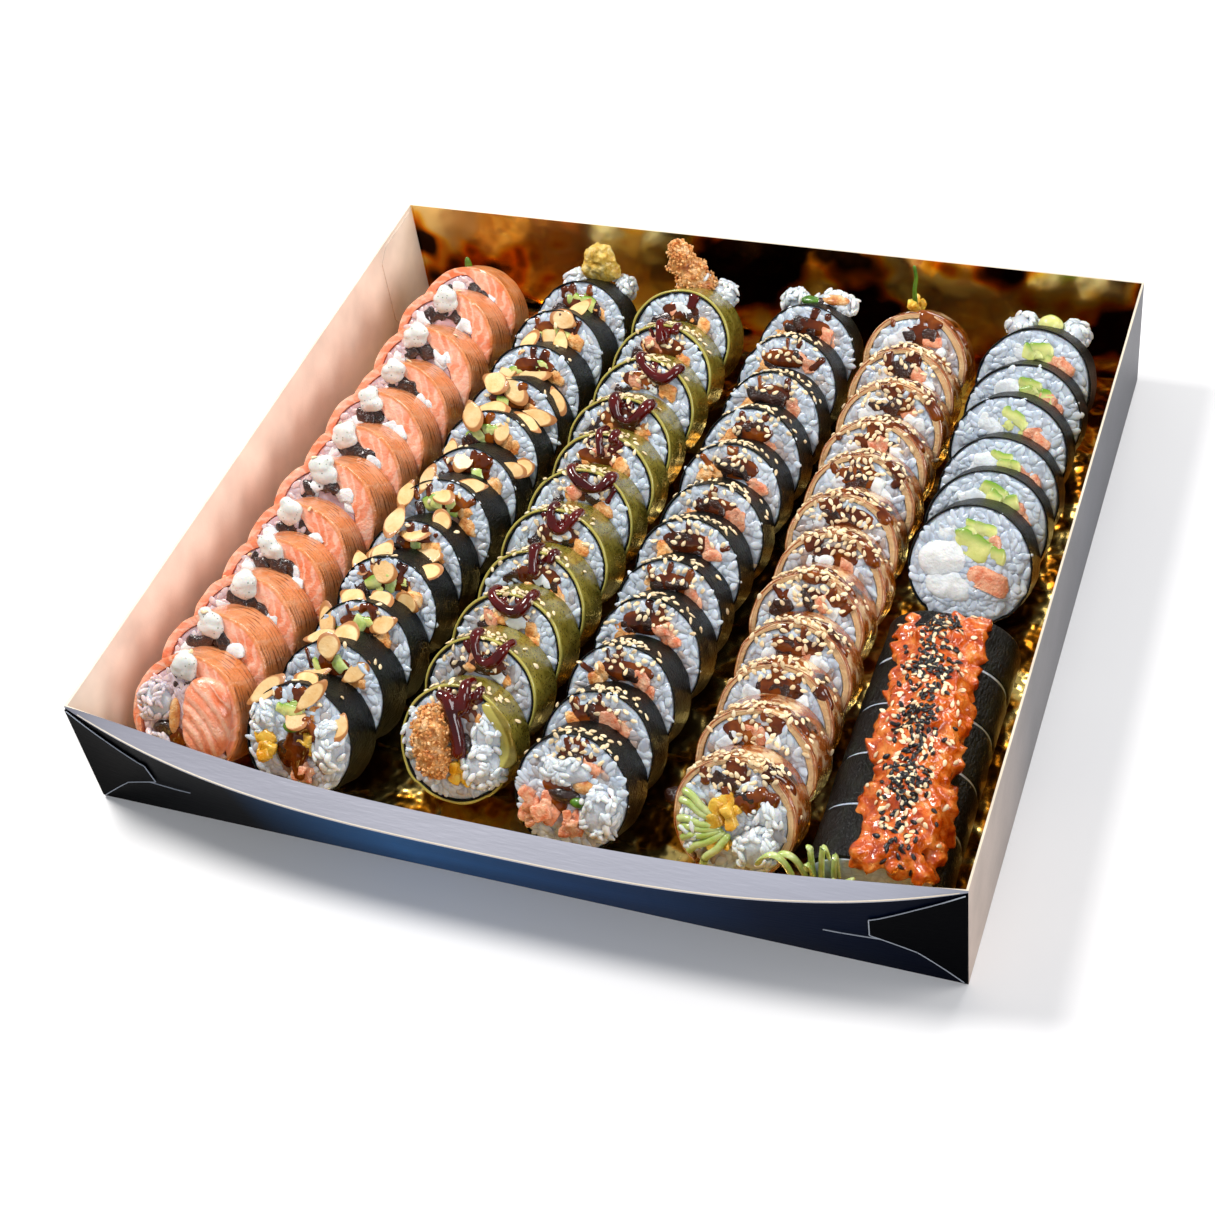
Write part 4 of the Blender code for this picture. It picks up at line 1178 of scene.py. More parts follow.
def build_row(name, slices, finishes, models, order):
    """All pieces of one row, each made of one thing, and the surface that small things drop on."""
    rng = np.random.default_rng(40 + order)
    kitchen = Kitchen(rng)
    bands = {}
    plugs = []
    rim = rice_rim(name)
    stain = stain_rule(name)
    for index, piece in enumerate(slices):
        cover = cover_of(piece, slices[index - 1] if index else None)
        bulge = 0.0012 if piece.first else 0.0
        for slot, outer, inside, arc, relief, size, taper in BANDS[name]:
            band = ring(piece, outer, inside, math.radians(arc), relief, size, taper)
            bands.setdefault(slot, []).append(band)
        plugs.append(plug(piece, rim, stain, bulge))
        kitchen.grain("pressed", *grain_frames(piece, cover, rim, stain, rng, bulge))
        fill_core(piece, name, kitchen, rng)
    first = slices[0]
    axes = np.array((first.across, first.up, first.axis))
    for slot, x, y, lift, half in FRONT_ENDS[name]:
        angle, share = first.polar(np.array((x, y)) / 1000)
        kitchen.lump(slot, first.spot(angle, share, 0.0, lift / 1000), axes, np.array(half) / 1000)
    top = slices[-1].spot(0.0, 1.0, 1.0)
    for slot, offset, half in BACK_ENDS[name]:
        kitchen.lump(slot, top + np.array(offset) / 1000, np.eye(3), np.array(half) / 1000)
    pieces = []
    for slot, parts in bands.items():
        pieces.append(dress(join(f"{name}_{slot}_band", parts), finishes[slot], slot))
    beds = join(f"{name}_rice_bed", plugs)
    pieces.append(dress(beds, finishes["pink_bed" if name == "salmon" else "rice_bed"], "rice"))
    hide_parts(*nodes_of(name))
    pressed = "pink_rice" if name == "salmon" else "rice"
    for kind, groups in kitchen.grains.items():
        frames, stains = (np.concatenate(values) for values in zip(*groups))
        grains = scatter(f"{name}_{kind}_rice", models["grain"], frames, rng, 0.0002, 0.003)
        set_attribute(grains, "stain", np.repeat(stains, len(models["grain"].data.vertices)))
        finish = pressed if kind == "pressed" or name == "salmon" else "loose_rice"
        pieces.append(dress(grains, finishes[finish], "rice"))
    for slot, frames in kitchen.chunks.items():
        chunks = scatter(f"{name}_{slot}_filling", models["chunk"], frames, rng, 0.0009, 0.003)
        pieces.append(dress(chunks, finishes[slot], SLOTS.get(slot, slot)))
    for slot, parts in kitchen.lumps.items():
        lumps = join(f"{name}_{slot}_lumps", parts)
        pieces.append(dress(lumps, finishes[slot], SLOTS.get(slot, slot)))
    return pieces


# Toppings

def top_spots(slices, rng, count, width, reach=(-0.45, 0.40)):
    """Random starts above the upper edges of all slices but the last, for things to drop from."""
    starts = []
    for piece in slices[:-1]:
        apex = piece.spot(0.0, 1.0, 0.0)
        behind = piece.spot(0.0, 1.0, 1.0)
        share = rng.uniform(*reach, count)[:, None]
        starts.append(apex + (behind - apex) * share + piece.across * rng.normal(0, width, count)[:, None])
    return np.concatenate(starts)


def apart(spots, distance):
    """The numbers of the spots that lie farther than distance from every earlier one that is kept."""
    kept = []
    for index, spot in enumerate(spots):
        if not kept or np.min(np.linalg.norm(spots[kept] - spot, axis=1)) > distance:
            kept.append(index)
    return kept


def sprinkle(name, models, surface, starts, rng, finish, slot, gap):
    """Drops sesame seeds straight down on the food, none of them closer together than gap."""
    spots, normals = surface.drop(starts)
    kept = apart(spots, gap)
    spots, normals = spots[kept], normals[kept]
    sizes = np.array(SEED) * rng.uniform(0.85, 1.12, (len(spots), 3))
    spots = spots + normals * (sizes[:, 2:3] * 0.35)
    return dress(scatter(name, models["seed"], frames_on(spots, normals, rng, sizes, 0.25), rng), finish, slot)


def make_dollops(slices, finishes):
    """A spooned dollop of herb cream on each salmon slice: uneven lobes run together."""
    parts = []
    for piece in slices[:-1]:
        rng = piece.rng
        axes = np.array((piece.across, piece.up, piece.axis))
        seat = piece.spot(rng.uniform(-0.20, 0.02), 0.86, 0.0, 0.0)
        size = rng.uniform(0.92, 1.12) / 1000
        lobes = ((0.0, -2.0, 0.8, 5.4, 3.8, 2.6), (rng.uniform(-1.8, 1.8), 0.8, 1.4, 4.6, 3.4, 2.7),
                 (rng.uniform(-2.6, 2.6), rng.uniform(-1.8, 0.6), 2.2, 3.0, 2.2, 2.0),
                 (rng.uniform(-2.8, 2.8), 2.8, 0.6, 2.7, 2.3, 2.3), (rng.uniform(-3, 3), -4.2, 0.4, 2.6, 2.2, 1.8))
        for lobe in lobes:
            half = np.array(lobe[3:]) * size
            spot = seat + np.array(lobe[:3]) * size @ axes
            parts.append(lump("lobe", spot, axes, half, 0.12, 0.0036, rng.randrange(90)))
    return dress(melt("salmon_dollops", parts, 0.00055, 7), finishes["cream"], "cream")


def make_flakes(slices, surface, models, finishes, rng):
    """Toasted almond flakes that lie on the faces and upper edges, turned mostly as the faces are."""
    starts = top_spots(slices, rng, 10, 0.0085, reach=(-0.75, 0.45))
    spots, normals = surface.drop(starts)
    kept = apart(spots, FLAKE_GAP)
    spots, normals = spots[kept], normals[kept]
    normals = normals * 0.4 + np.array((0.0, -0.56, 0.83)) * 0.6
    normals /= np.linalg.norm(normals, axis=1)[:, None]
    sizes = np.array(FLAKE) * rng.uniform(0.66, 1.1, (len(spots), 3))
    spots = spots + normals * (0.0004 + 0.0007 * rng.random(len(spots)))[:, None]
    for kind, model in enumerate(models["flakes"]):
        frames = frames_on(spots[kind::2], normals[kind::2], rng, sizes[kind::2], 0.14)
        dress(scatter(f"almond_flakes_{kind + 1}", model, frames, rng), finishes["almond"], "almond")


def sauce_loops(slices, rng, radius):
    """Thick loops, streaks and hooks of sauce over the upper edge of each slice and down its face."""
    strands = []
    for piece in slices[:-1]:
        middle = rng.uniform(-0.26, 0.22)
        half = rng.uniform(0.22, 0.34)
        low = rng.uniform(0.52, 0.62)
        left, right = middle - half, middle + half
        kinds = (
            (((left, 1.0, 0.34, 0.1), (left, 1.01, 0.06, 0.2), (left, 0.92, 0.0, 0.7),
              (left + 0.05, low + 0.09, 0.0, 0.7), (middle, low, 0.0, 0.8), (right - 0.05, low + 0.09, 0.0, 0.7),
              (right, 0.92, 0.0, 0.7), (right, 1.01, 0.05, 0.2), (right, 1.0, 0.40, 0.1)),),
            (((middle, 1.0, 0.55, 0.1), (middle, 1.01, 0.04, 0.2), (middle + 0.03, 0.90, 0.0, 0.8),
              (middle + 0.10, low, 0.0, 1.0)),
             ((right, 1.0, 0.30, 0.1), (right, 1.01, 0.04, 0.2), (right + 0.03, 0.84, 0.0, 0.7))),
            (((left, 1.0, 0.50, 0.1), (left, 1.01, 0.05, 0.2), (left + 0.08, 0.86, 0.0, 0.7),
              (middle, 0.72, 0.0, 0.9), (right, 0.70, 0.0, 0.9), (right + 0.12, 0.84, 0.0, 0.7),
              (right + 0.12, 1.01, 0.05, 0.2), (right + 0.10, 1.0, 0.5, 0.1)),),
        )
        for line in kinds[(piece.index * 2 + 1) % 3]:
            spots = [piece.spot(angle, share, depth, lift * radius) for angle, share, depth, lift in line]
            strands.append(strand("loop", spots, radius * rng.uniform(0.60, 1.15, len(spots)), 40, 12))
    return strands


def face_strand(piece, line, radius, lift=0.6):
    """A strand on a face along places given in millimetres across and up from its middle."""
    clear = 0.0012 if piece.first else 0.0005
    spots = []
    for (x, y), thick in zip(line, radius):
        angle, share = piece.polar(np.array((x, y)) / 1000)
        spots.append(piece.spot(angle, share, 0.0, lift * thick + clear))
    return strand("run", spots, radius, 26, 10)


def sauce_pool(piece, rng, count, spread, middle, radius, lift=-0.25):
    """Sauce that has run over a front cut: many flat runs about one place."""
    runs = []
    for _ in range(count):
        x, y = rng.normal(0, 1, 2) * spread + middle
        bend = rng.uniform(-3, 3, 2)
        line = ((x, y), (x + bend[0], y - 3), (x + bend[1], y - 7))
        runs.append(face_strand(piece, line, np.full(3, radius * rng.uniform(0.6, 1.3)), lift))
    return runs


def face_runs(slices, rng, count, radius, spread):
    """Flat runs of sauce down the part of each face that the slice ahead leaves bare."""
    runs = []
    for piece in slices:
        for _ in range(count):
            angle = np.clip(rng.normal(0, spread), -1.0, 1.0)
            low = rng.uniform(0.50, 0.84)
            lean = rng.normal(0, 0.10)
            size = radius * rng.uniform(0.6, 1.2) * np.array((0.8, 0.7, 1.15))
            line = ((angle, 0.955), (angle + lean * 0.4, (0.955 + low) / 2), (angle + lean, low))
            spots = [piece.spot(turn, share, 0.0, 0.0005 - 0.62 * thick)
                     for (turn, share), thick in zip(line, size)]
            runs.append(strand("run", spots, size, 26, 10))
    return runs


def rim_runs(slices, rng, count, radius):
    """Flat runs of sauce along the upper right of each slice's outside."""
    runs = []
    for piece in slices:
        for _ in range(count):
            start = rng.uniform(-0.3, 0.7)
            depth = rng.uniform(0.05, 0.45)
            size = radius * rng.uniform(0.6, 1.2, 4)
            spots = [piece.spot(start + 0.18 * step, 1.0 - 0.6 * size[step] / piece.half_width,
                                depth + rng.uniform(-0.08, 0.08), 0.0) for step in range(4)]
            runs.append(strand("run", spots, size, 22, 10))
    return runs


def make_prawns(slices, finishes, models, rng):
    """Breaded prawns: one across the front cut of the wrapped roll, and a tail at its back, in crumbs all over."""
    first = slices[0]
    front = [first.spot(*first.polar(np.array(spot[:2]) / 1000), 0.0, spot[2] / 1000) for spot in
             ((-8.5, 13.0, 1.5), (-9.0, 6.0, 3.0), (-7.5, -3.0, 3.6), (-3.0, -11.0, 3.0))]
    top = slices[-1].spot(0.0, 1.0, 1.0)
    back = [top + np.array(spot) / 1000 for spot in ((2, 1, -6), (-1.5, 1, 2), (-7, 2, 10), (-10.5, 3, 19.2))]
    cores = [strand("prawn", front, (0.0048, 0.0064, 0.0060, 0.0044), 30, 16, rough=0.22),
             strand("prawn", back, (0.0064, 0.0074, 0.0060, 0.0034), 30, 16, rough=0.30)]
    body = dress(join("wrapped_prawns", cores), finishes["tempura"], "tempura")
    co = points_of(body)
    normals = read(body.data.vertices, "normal", 3).astype(float)
    chosen = rng.choice(len(co), CRUMB_COUNT)
    spots = co[chosen] + rng.normal(0, CRUMB * 0.35, (CRUMB_COUNT, 3)) + normals[chosen] * CRUMB * 0.15
    sizes = CRUMB * rng.uniform(0.6, 1.3, (CRUMB_COUNT, 3))
    frames = frames_on(spots, normals[chosen], rng, sizes, 0.5)
    crumbs = scatter("wrapped_prawn_crumbs", models["crumb"], frames, rng)
    dress(crumbs, finishes["tempura"], "tempura")


def make_tempura(slices, finishes, rng):
    """The tall ragged flake of batter that stands behind the almond roll."""
    top = slices[-1].spot(0.0, 1.0, 1.0) + np.array((1, 1, 6)) / 1000
    parts = []
    lobes = ((0, -2, 7.0, 7.0), (-3, 3.5, 4.4, 5.4), (3.4, 1.5, 4.6, 5.0), (1.0, 6.0, 4.4, 3.8),
             (-5.5, -2.5, 3.2, 4.4), (5.8, -3.0, 3.0, 4.0), (-1.5, 7.2, 2.4, 2.4))
    for across, up, width, height in lobes:
        half = np.array((width, 4.0, height)) / 1000
        spot = top + np.array((across, rng.uniform(-0.8, 0.8), up)) / 1000
        parts.append(lump("batter", spot, np.eye(3), half, 0.34, 0.0035, rng.integers(90)))
    body = melt("almond_tempura", parts, 0.0006, 1)
    roughen(body, 0.0006, 0.0018, 5)
    dress(body, finishes["batter"], "tempura")


def make_slab(slices, finishes):
    """The salmon slice that hangs folded from the front cut, its layers in nested curves."""
    first = slices[0]
    centre = first.spot(*first.polar(np.array((9.0, 1.5)) / 1000), 0.0, 0.0)
    slab = ball("salmon_slab", 64, 48)
    co = points_of(slab) * 2
    co = np.sign(co) * np.abs(co) ** (0.72, 0.72, 0.9)
    local = co * (0.0098, 0.0150, 0.0044)
    bend = np.hypot(local[:, 0] + 0.013, (local[:, 1] + 0.020) * 0.8)
    bend = bend + 0.0006 * wobble(local, 0.004, 5)
    ridge = np.abs(np.sin(bend * math.pi / 0.0042)) ** 0.6
    local[:, 2] += 0.0011 * (ridge - 0.6) * (co[:, 2] > 0)
    set_points(slab, centre + local @ np.array((first.across, first.up, first.axis)))
    set_attribute(slab, "flow", np.stack((bend * 1.4, local[:, 2], np.full(len(co), 0.5)), 1))
    dress(slab, finishes["salmon"], "salmon")


def make_strip(slices, finishes):
    """The torn strip of olive sheet that hangs over the right of the front cut."""
    first = slices[0]
    spots = [first.spot(angle, share, 0.0, 0.0016) for angle, share in
             ((0.55, 0.97), (0.95, 0.97), (1.25, 0.95), (1.55, 0.92), (1.80, 0.86))]
    path = smooth_path(spots, 24)

    def place(u, v):
        middle = along_path(path, v)
        turn = u * math.tau
        wide = 0.0034 * np.sqrt(np.clip(1 - (1 - 2 * v) ** 8, 0, 1)) * (1 + 0.2 * np.sin(v * 9))
        side = wide * np.cos(turn)
        out = 0.0006 * np.sin(turn) * (wide > 1e-5) + 0.0012 * np.sin(v * 7)
        return middle + first.across * side[:, None] + first.axis * out[:, None], np.stack((u, side, v), 1)

    dress(sheet("wrapped_strip", 20, 24, place), finishes["wrap"], "wrap")


def make_stalks(slices, finishes, rng):
    """A green stalk at the back of the seared roll, and cucumber strings at its front."""
    top = slices["seared"][-1].spot(0.0, 1.0, 1.0)
    stalk = [top + np.array(spot) / 1000 for spot in ((-6, 0, 2), (-6.3, 0, 9), (-5.4, 0.4, 15), (-6.4, 1, 20.5))]
    green = [strand("stalk", stalk, (0.0012, 0.0009, 0.0008, 0.0007), 20, 8)]
    first = slices["seared"][0]
    strings = []
    for index in range(7):
        angle = -2.7 + index * 0.24 + rng.uniform(-0.08, 0.08)
        line = [first.spot(angle - 0.25, 0.20, 0.0, 0.002), first.spot(angle, 0.50, 0.0, 0.0035),
                first.spot(angle + 0.15, 0.72, 0.0, 0.003), first.spot(angle + 0.1, 0.90, 0.0, 0.0015)]
        strings.append(strand("string", line, 0.0014, 20, 8))
    dress(join("seared_stalk", green), finishes["herb"], "herb")
    dress(join("seared_cucumber_strings", strings), finishes["cucumber"], "cucumber")


# The long roll, the tartare on it, and the cucumber before it

LONG_ROLL_X = 0.128
LONG_ROLL_ENDS = (-0.140, -0.026)
LONG_ROLL_HALF_WIDTH = 0.0245
LONG_ROLL_HEIGHT = 0.034
LONG_ROLL_PIECES = 5
CUT_WIDTH = 0.0007
TARTARE_LINE = ((0.125, -0.029), (0.137, -0.146))
TARTARE_HALF_WIDTH = 0.0165
TARTARE_TOP = 0.046
TARTARE_RIGHT = 0.1515


def roll_section(angle, share):
    """The long roll's cross-section: wide, with a flattened top and foot."""
    power = 0.82
    side = np.sign(np.sin(angle)) * np.abs(np.sin(angle)) ** power
    rise = np.sign(np.cos(angle)) * np.abs(np.cos(angle)) ** power
    return (LONG_ROLL_X + LONG_ROLL_HALF_WIDTH * share * side,
            LONG_ROLL_HEIGHT / 2 * share * rise + FLOOR + LONG_ROLL_HEIGHT / 2)


def roll_round(name, start, end, share, seed, relief):
    """One closed round of the long roll between two cuts, its edges rolled over."""
    outline = [(0.0, 0.0), (0.55, 0.0), (0.93, 0.0), (0.985, 0.012)]
    outline += [(1.0, step) for step in np.linspace(0.05, 0.95, 12)]
    outline += [(0.985, 0.988), (0.93, 1.0), (0.55, 1.0), (0.0, 1.0)]
    outline = np.array(outline)

    def place(u, v):
        angle = math.tau * (u - 0.5)
        step = v * (len(outline) - 1)
        part = np.interp(step, np.arange(len(outline)), outline[:, 0])
        depth = np.interp(step, np.arange(len(outline)), outline[:, 1])
        y = start + (end - start) * depth + SHIFT[1]
        x, z = roll_section(angle, part * share)
        base = np.stack((x, y, z), 1)
        dent = relief * (wobble(base, 0.006, seed) + 1) / 2
        x, z = roll_section(angle, part * (share - dent))
        return np.stack((x, y, z), 1), np.stack((angle * 0.02, y, part), 1)

    return sheet(name, 84, len(outline) - 1, place)


def make_long_roll(finishes):
    start, end = LONG_ROLL_ENDS
    core = roll_round("core", start, end, 0.955, 3, 0.0)
    step = (end - start) / LONG_ROLL_PIECES
    plates = []
    for index in range(LONG_ROLL_PIECES):
        low = start + index * step + CUT_WIDTH / 2
        plates.append(roll_round("plate", low, low + step - CUT_WIDTH, 1.0, index, 0.03))
    nori = dress(join("long_roll_nori", plates), finishes["nori"], "nori", "long_roll")
    rice = dress(core, finishes["rice_bed"], "rice")
    rice.name = "long_roll_rice_bed"
    return [nori, rice]


def make_tartare(roll, finishes, models, rng):
    """The heap of chopped salmon on the long roll, with black and white sesame down its middle."""
    back = np.array((*TARTARE_LINE[0], LONG_ROLL_HEIGHT - 0.003)) + SHIFT
    front = np.array((*TARTARE_LINE[1], LONG_ROLL_HEIGHT - 0.003)) + SHIFT
    run = front - back
    length = np.linalg.norm(run)
    ahead = run / length
    side = np.cross(ahead, (0, 0, 1))
    axes = np.array((side, ahead, (0, 0, 1)))
    core = lump("tartare_core", (front + back) / 2, axes, (TARTARE_HALF_WIDTH * 0.78, length / 2 * 0.95, 0.0125),
                0.24, 0.010, 2, 48, 40)
    starts = (front + back) / 2 + np.stack((rng.uniform(-1, 1, 400) * TARTARE_HALF_WIDTH * 0.84,
                                            rng.uniform(-0.5, 0.5, 400) * length, np.zeros(400)), 1) @ axes
    both = Surface([core] + roll)
    spots, normals = both.drop(starts)
    keep = spots[:, 0] < TARTARE_RIGHT - 0.0035
    spots, normals = spots[keep], normals[keep]
    sizes = np.array((0.0084, 0.0062, 0.0048)) * rng.uniform(0.65, 1.2, (len(spots), 3))
    frames = frames_on(spots, normals, rng, sizes, 0.5)
    chunks = scatter("tartare_pieces", models["chunk"], frames, rng, 0.0008, 0.004)
    body = dress(melt("tartare_body", [core, chunks], 0.0007, 3), finishes["tartare"], "tartare", "tartare_heap")
    top = Surface([body])
    for slot, count, spread in (("black_sesame", 620, 0.22), ("sesame_seed", 230, 0.36)):
        line = rng.uniform(-0.5, 0.40, count)
        if slot == "black_sesame":
            line = np.where(rng.random(count) < 0.6, np.round(line * 4.5) / 4.5 + rng.normal(0, 0.030, count), line)
        across = rng.normal(0.05, spread, count) * TARTARE_HALF_WIDTH
        starts = (front + back) / 2 + np.stack((across, line * length, np.zeros(count)), 1) @ axes
        sprinkle(f"tartare_{slot}", models, top, starts, rng, finishes[slot], slot, HEAP_SEED_GAP)


def make_cucumber(finishes, rng):
    """Cucumber strips that lean and arch up before the long roll from one foot."""
    foot = np.array((0.1105, -0.1475, FLOOR + 0.004)) + SHIFT
    parts = [lump("foot", foot, np.eye(3), (0.0083, 0.0040, 0.0038), 0.08)]
    for index in range(8):
        start = foot[0] + (index / 7 - 0.5) * 0.012
        reach = (index / 7 - 0.5) * 0.012 + rng.uniform(-0.004, 0.004)
        height = rng.uniform(0.024, 0.0368)
        y = foot[1] + rng.uniform(-0.0015, 0.0068)
        fall = rng.uniform(1.5, 2.5)
        line = []
        for step in range(9):
            turn = step / 8 * fall
            line.append((start + reach * (1 - math.cos(turn)), y + 0.0016 * math.sin(turn + index),
                         foot[2] + height * math.sin(turn)))
        thick = 0.0017 * rng.uniform(0.8, 1.15) * np.linspace(1.15, 0.7, 9)
        parts.append(strand("strip", line, thick, 34, 10, 0.6))
    dress(join("cucumber_strips_dressed", parts), finishes["cucumber"], "cucumber", "cucumber_strips")


# Tray

def foil_finish(name, floor_gold_and_reflections, wall_gold_and_reflections, roughness, bump):
    """Mirror foil on board: wavy gold on the floor, softer and in larger patches up the back wall.

    The lighter and darker patches are painted reflections of the food, over the foil's own gold.
    """
    finish = Finish(name, {"Metallic": 1.0, "Roughness": roughness})
    wall = stepped(finish, finish.fed("SeparateXYZ", finish.place(), 0).outputs["Y"], 0.1585, 0.1605)
    sides = []
    for patch, colours in ((0.024, floor_gold_and_reflections), (0.060, wall_gold_and_reflections)):
        mottle = finish.mottle(patch, patch * 0.5)
        sides.append((ramp(finish, stepped(finish, mottle["Mask"], 0.34, 0.66), colours), mottle["Height"]))
    colour, height = (blended(finish, wall, *pair) for pair in zip(*sides))
    finish.to_shader(colour, "Base Color")
    finish.relief(height, bump)
    return finish.material


def board_finish(name, colours, values, axis="X"):
    """Laminated board whose colour runs along one axis of the tray, with a faint fibre grain.

    On the navy, brushed and strip boards the run of colour is painted sheen and reflection.
    """
    finish = Finish(name, values)
    reach = (TRAY_WIDTH if axis == "X" else TRAY_DEPTH) / 2
    parts = finish.fed("SeparateXYZ", finish.place(), 0).outputs
    share = finish.fed("MapRange", parts[axis], "Value", {"From Min": -reach, "From Max": reach})
    colour = ramp(finish, share.outputs["Result"], colours)
    mottle = finish.mottle(0.030, 0.0012, (0.15, 1.0, 1.0))
    shade = ramp(finish, mottle["Mask"], ((226, 226, 226), (255, 255, 255)))
    whole = finish.node("Value")
    whole.outputs[0].default_value = 1.0
    finish.to_shader(blended(finish, whole.outputs[0], colour, shade, "MULTIPLY"), "Base Color")
    finish.relief(mottle["Height"], 0.00006)
    return finish.material


# Finishes of the board: label, colours along it, shader values, and the axis that they run along.
BOARDS = {
    # navy: near black board, with a painted blue sheen across the middle of the front wall
    "navy": ("navy laminate", ((3, 3, 5), (6, 8, 14), (44, 88, 136), (24, 56, 96), (8, 22, 44), (5, 10, 22)),
             {"Roughness": 0.4, "Specular IOR Level": 0.02}),
    "black": ("black laminate", ((4, 4, 6), (6, 7, 11)), {"Roughness": 0.4, "Specular IOR Level": 0.01}),
    # brushed: silver board, painted lighter towards the front of the tray as a reflection
    "brushed": ("brushed silver laminate", ((190, 170, 156), (112, 109, 110), (84, 85, 91), (70, 71, 78)),
                {"Roughness": 0.46, "Metallic": 0.55}, "Y"),
    # strip: the same dark board, painted a pale lavender grey, lightest in the middle, as a reflection of the light
    # overhead
    "strip": ("folded strip", ((150, 150, 162), (180, 181, 194), (168, 170, 184)),
              {"Roughness": 0.34, "Metallic": 0.2, "Specular IOR Level": 0.4}),
    "beige": ("matte board", ((250, 234, 218), (250, 234, 218)), {"Roughness": 0.55}),
    # pale grey lines along the gussets' edges and slits: painted highlights of the board edges
    "worn": ("worn laminate edge", ((150, 158, 172), (162, 168, 178)), {"Roughness": 0.5}),
    "edge": ("board edge", ((232, 220, 200), (226, 212, 190)), {"Roughness": 0.7}),
}


def make_board_finishes():
    looks = {name: board_finish(*values) for name, values in BOARDS.items()}
    # The foil's colour patches are painted reflections of the food on its gold.
    looks["gold"] = foil_finish("gold foil with painted reflections", ((150, 90, 20), (232, 160, 56), (255, 222, 130)),
                                ((40, 22, 6), (226, 120, 20), (250, 196, 70), (255, 228, 150)), 0.20, 0.0022)
    return looks


def crease_point(x):
    """The front wall's curved crease at x: how far out of the wall's plane it is, and how high."""
    share = 1 - np.abs(2 * x / TRAY_WIDTH) ** BOW_POWER
    return FRONT_BOW * share, TRAY_HEIGHT - CREASE_TOP_GAP - CREASE_DROP * share


def front_wall(x, z):
    """The front wall's outside at x and at height z, below its crease."""
    out, crease = crease_point(x)
    return np.stack((x, -TRAY_DEPTH / 2 - out * z / crease + SHIFT[1], z), 1)


def make_tray_shell(looks):
    """The folded board: an open box, its front wall bowed out and its top strip folded back."""
    deselect()
    bpy.ops.mesh.primitive_cube_add(size=1)
    shell = bpy.context.active_object
    shell.name = "tray_shell"
    half = TRAY_WIDTH / 2
    set_points(shell, points_of(shell) * (TRAY_WIDTH, TRAY_DEPTH, TRAY_HEIGHT) + (0, 0, TRAY_HEIGHT / 2))
    pick(shell)
    bpy.ops.object.mode_set(mode="EDIT")
    bpy.ops.mesh.select_all(action="DESELECT")
    bpy.ops.object.mode_set(mode="OBJECT")
    for face in shell.data.polygons:
        face.select = face.normal.z > 0.5
    bpy.ops.object.mode_set(mode="EDIT")
    bpy.ops.mesh.delete(type="ONLY_FACE")
    for column in range(1, 56):
        bpy.ops.mesh.select_all(action="SELECT")
        bpy.ops.mesh.bisect(plane_co=(TRAY_WIDTH * (column / 56 - 0.5), 0, 0), plane_no=(1, 0, 0))
    for level in (0.25, 0.5, 0.75):
        bpy.ops.mesh.select_all(action="SELECT")
        bpy.ops.mesh.bisect(plane_co=(0, 0, TRAY_HEIGHT * level), plane_no=(0, 0, 1))
    bpy.ops.object.mode_set(mode="OBJECT")
    co = points_of(shell)
    front = (co[:, 1] < -TRAY_DEPTH / 2 + BOARD) & (co[:, 2] > BOARD)
    share = co[:, 2] / (TRAY_HEIGHT / 2)
    wall = np.clip(share, 0, 1)
    fold = np.clip(share - 1, 0, 1)
    out, height = crease_point(co[:, 0])
    strip = 1 - np.abs(co[:, 0] / half) ** STRIP_POWER
    co[front, 1] -= (out * wall - STRIP_RETURN * strip * fold)[front]
    co[front, 2] = (height * wall + (CREASE_TOP_GAP + STRIP_RISE * strip) * fold)[front]
    co += SHIFT
    set_points(shell, co)
    # Front faces above the crease, and the top of the folded strip, take the strip's painted reflection.
    for face in shell.data.polygons:
        middle = face.center
        if face.normal.y < -0.3 and middle.z > BOARD:
            out, height = crease_point(middle.x)
            face.material_index = 3 if middle.z > height - 1e-4 else 0
        elif abs(middle.y - SHIFT[1] + TRAY_DEPTH / 2) < 0.03 and face.normal.z > 0.3:
            face.material_index = 3
        elif face.normal.x < -0.5:
            face.material_index = 2
        else:
            face.material_index = 1
    board = shell.modifiers.new("board", "SOLIDIFY")
    board.thickness = BOARD
    board.offset = -1.0
    board.use_even_offset = True
    board.material_offset = 4
    board.material_offset_rim = 6
    # Looks by face index: navy with painted sheen, brushed silver with painted reflection twice, the strip's painted
    # reflection, gold foil with painted reflections twice, beige, and board edge three times.
    for look in ("navy", "brushed", "brushed", "strip", "gold", "gold", "beige", "edge", "edge", "edge"):
        shell.data.materials.append(looks[look])
    apply_modifiers(shell)
    return shell


# The gussets' edges and slits, in millimetres from the tray's corner and up.
GUSSET_LINES = (((0.6, 48.2), (16.0, 40.0), (28.0, 33.0), (30.5, 32.0), (31.0, 21.5), (16.0, 14.5), (1.2, 1.4)),
                ((27.5, 19.9), (40.0, 20.6), (46.0, 21.4)))


def board_flap(name, place, run, low, high, push):
    """A flap of board on a wall: its outline's stations, its low and high edges there, and its thickness."""

    def rule(u, v):
        at = run[0] + (run[-1] - run[0]) * u
        bottom = np.interp(at, run, low)
        top = np.interp(at, run, high)
        return place(at, bottom + (top - bottom) * v), np.stack((at, v, u), 1)

    flap = sheet(name, 24, 12, rule)
    shell = flap.modifiers.new("board", "SOLIDIFY")
    shell.thickness = abs(push)
    shell.offset = math.copysign(1.0, push)
    apply_modifiers(flap)
    edit(flap, weld)
    return flap


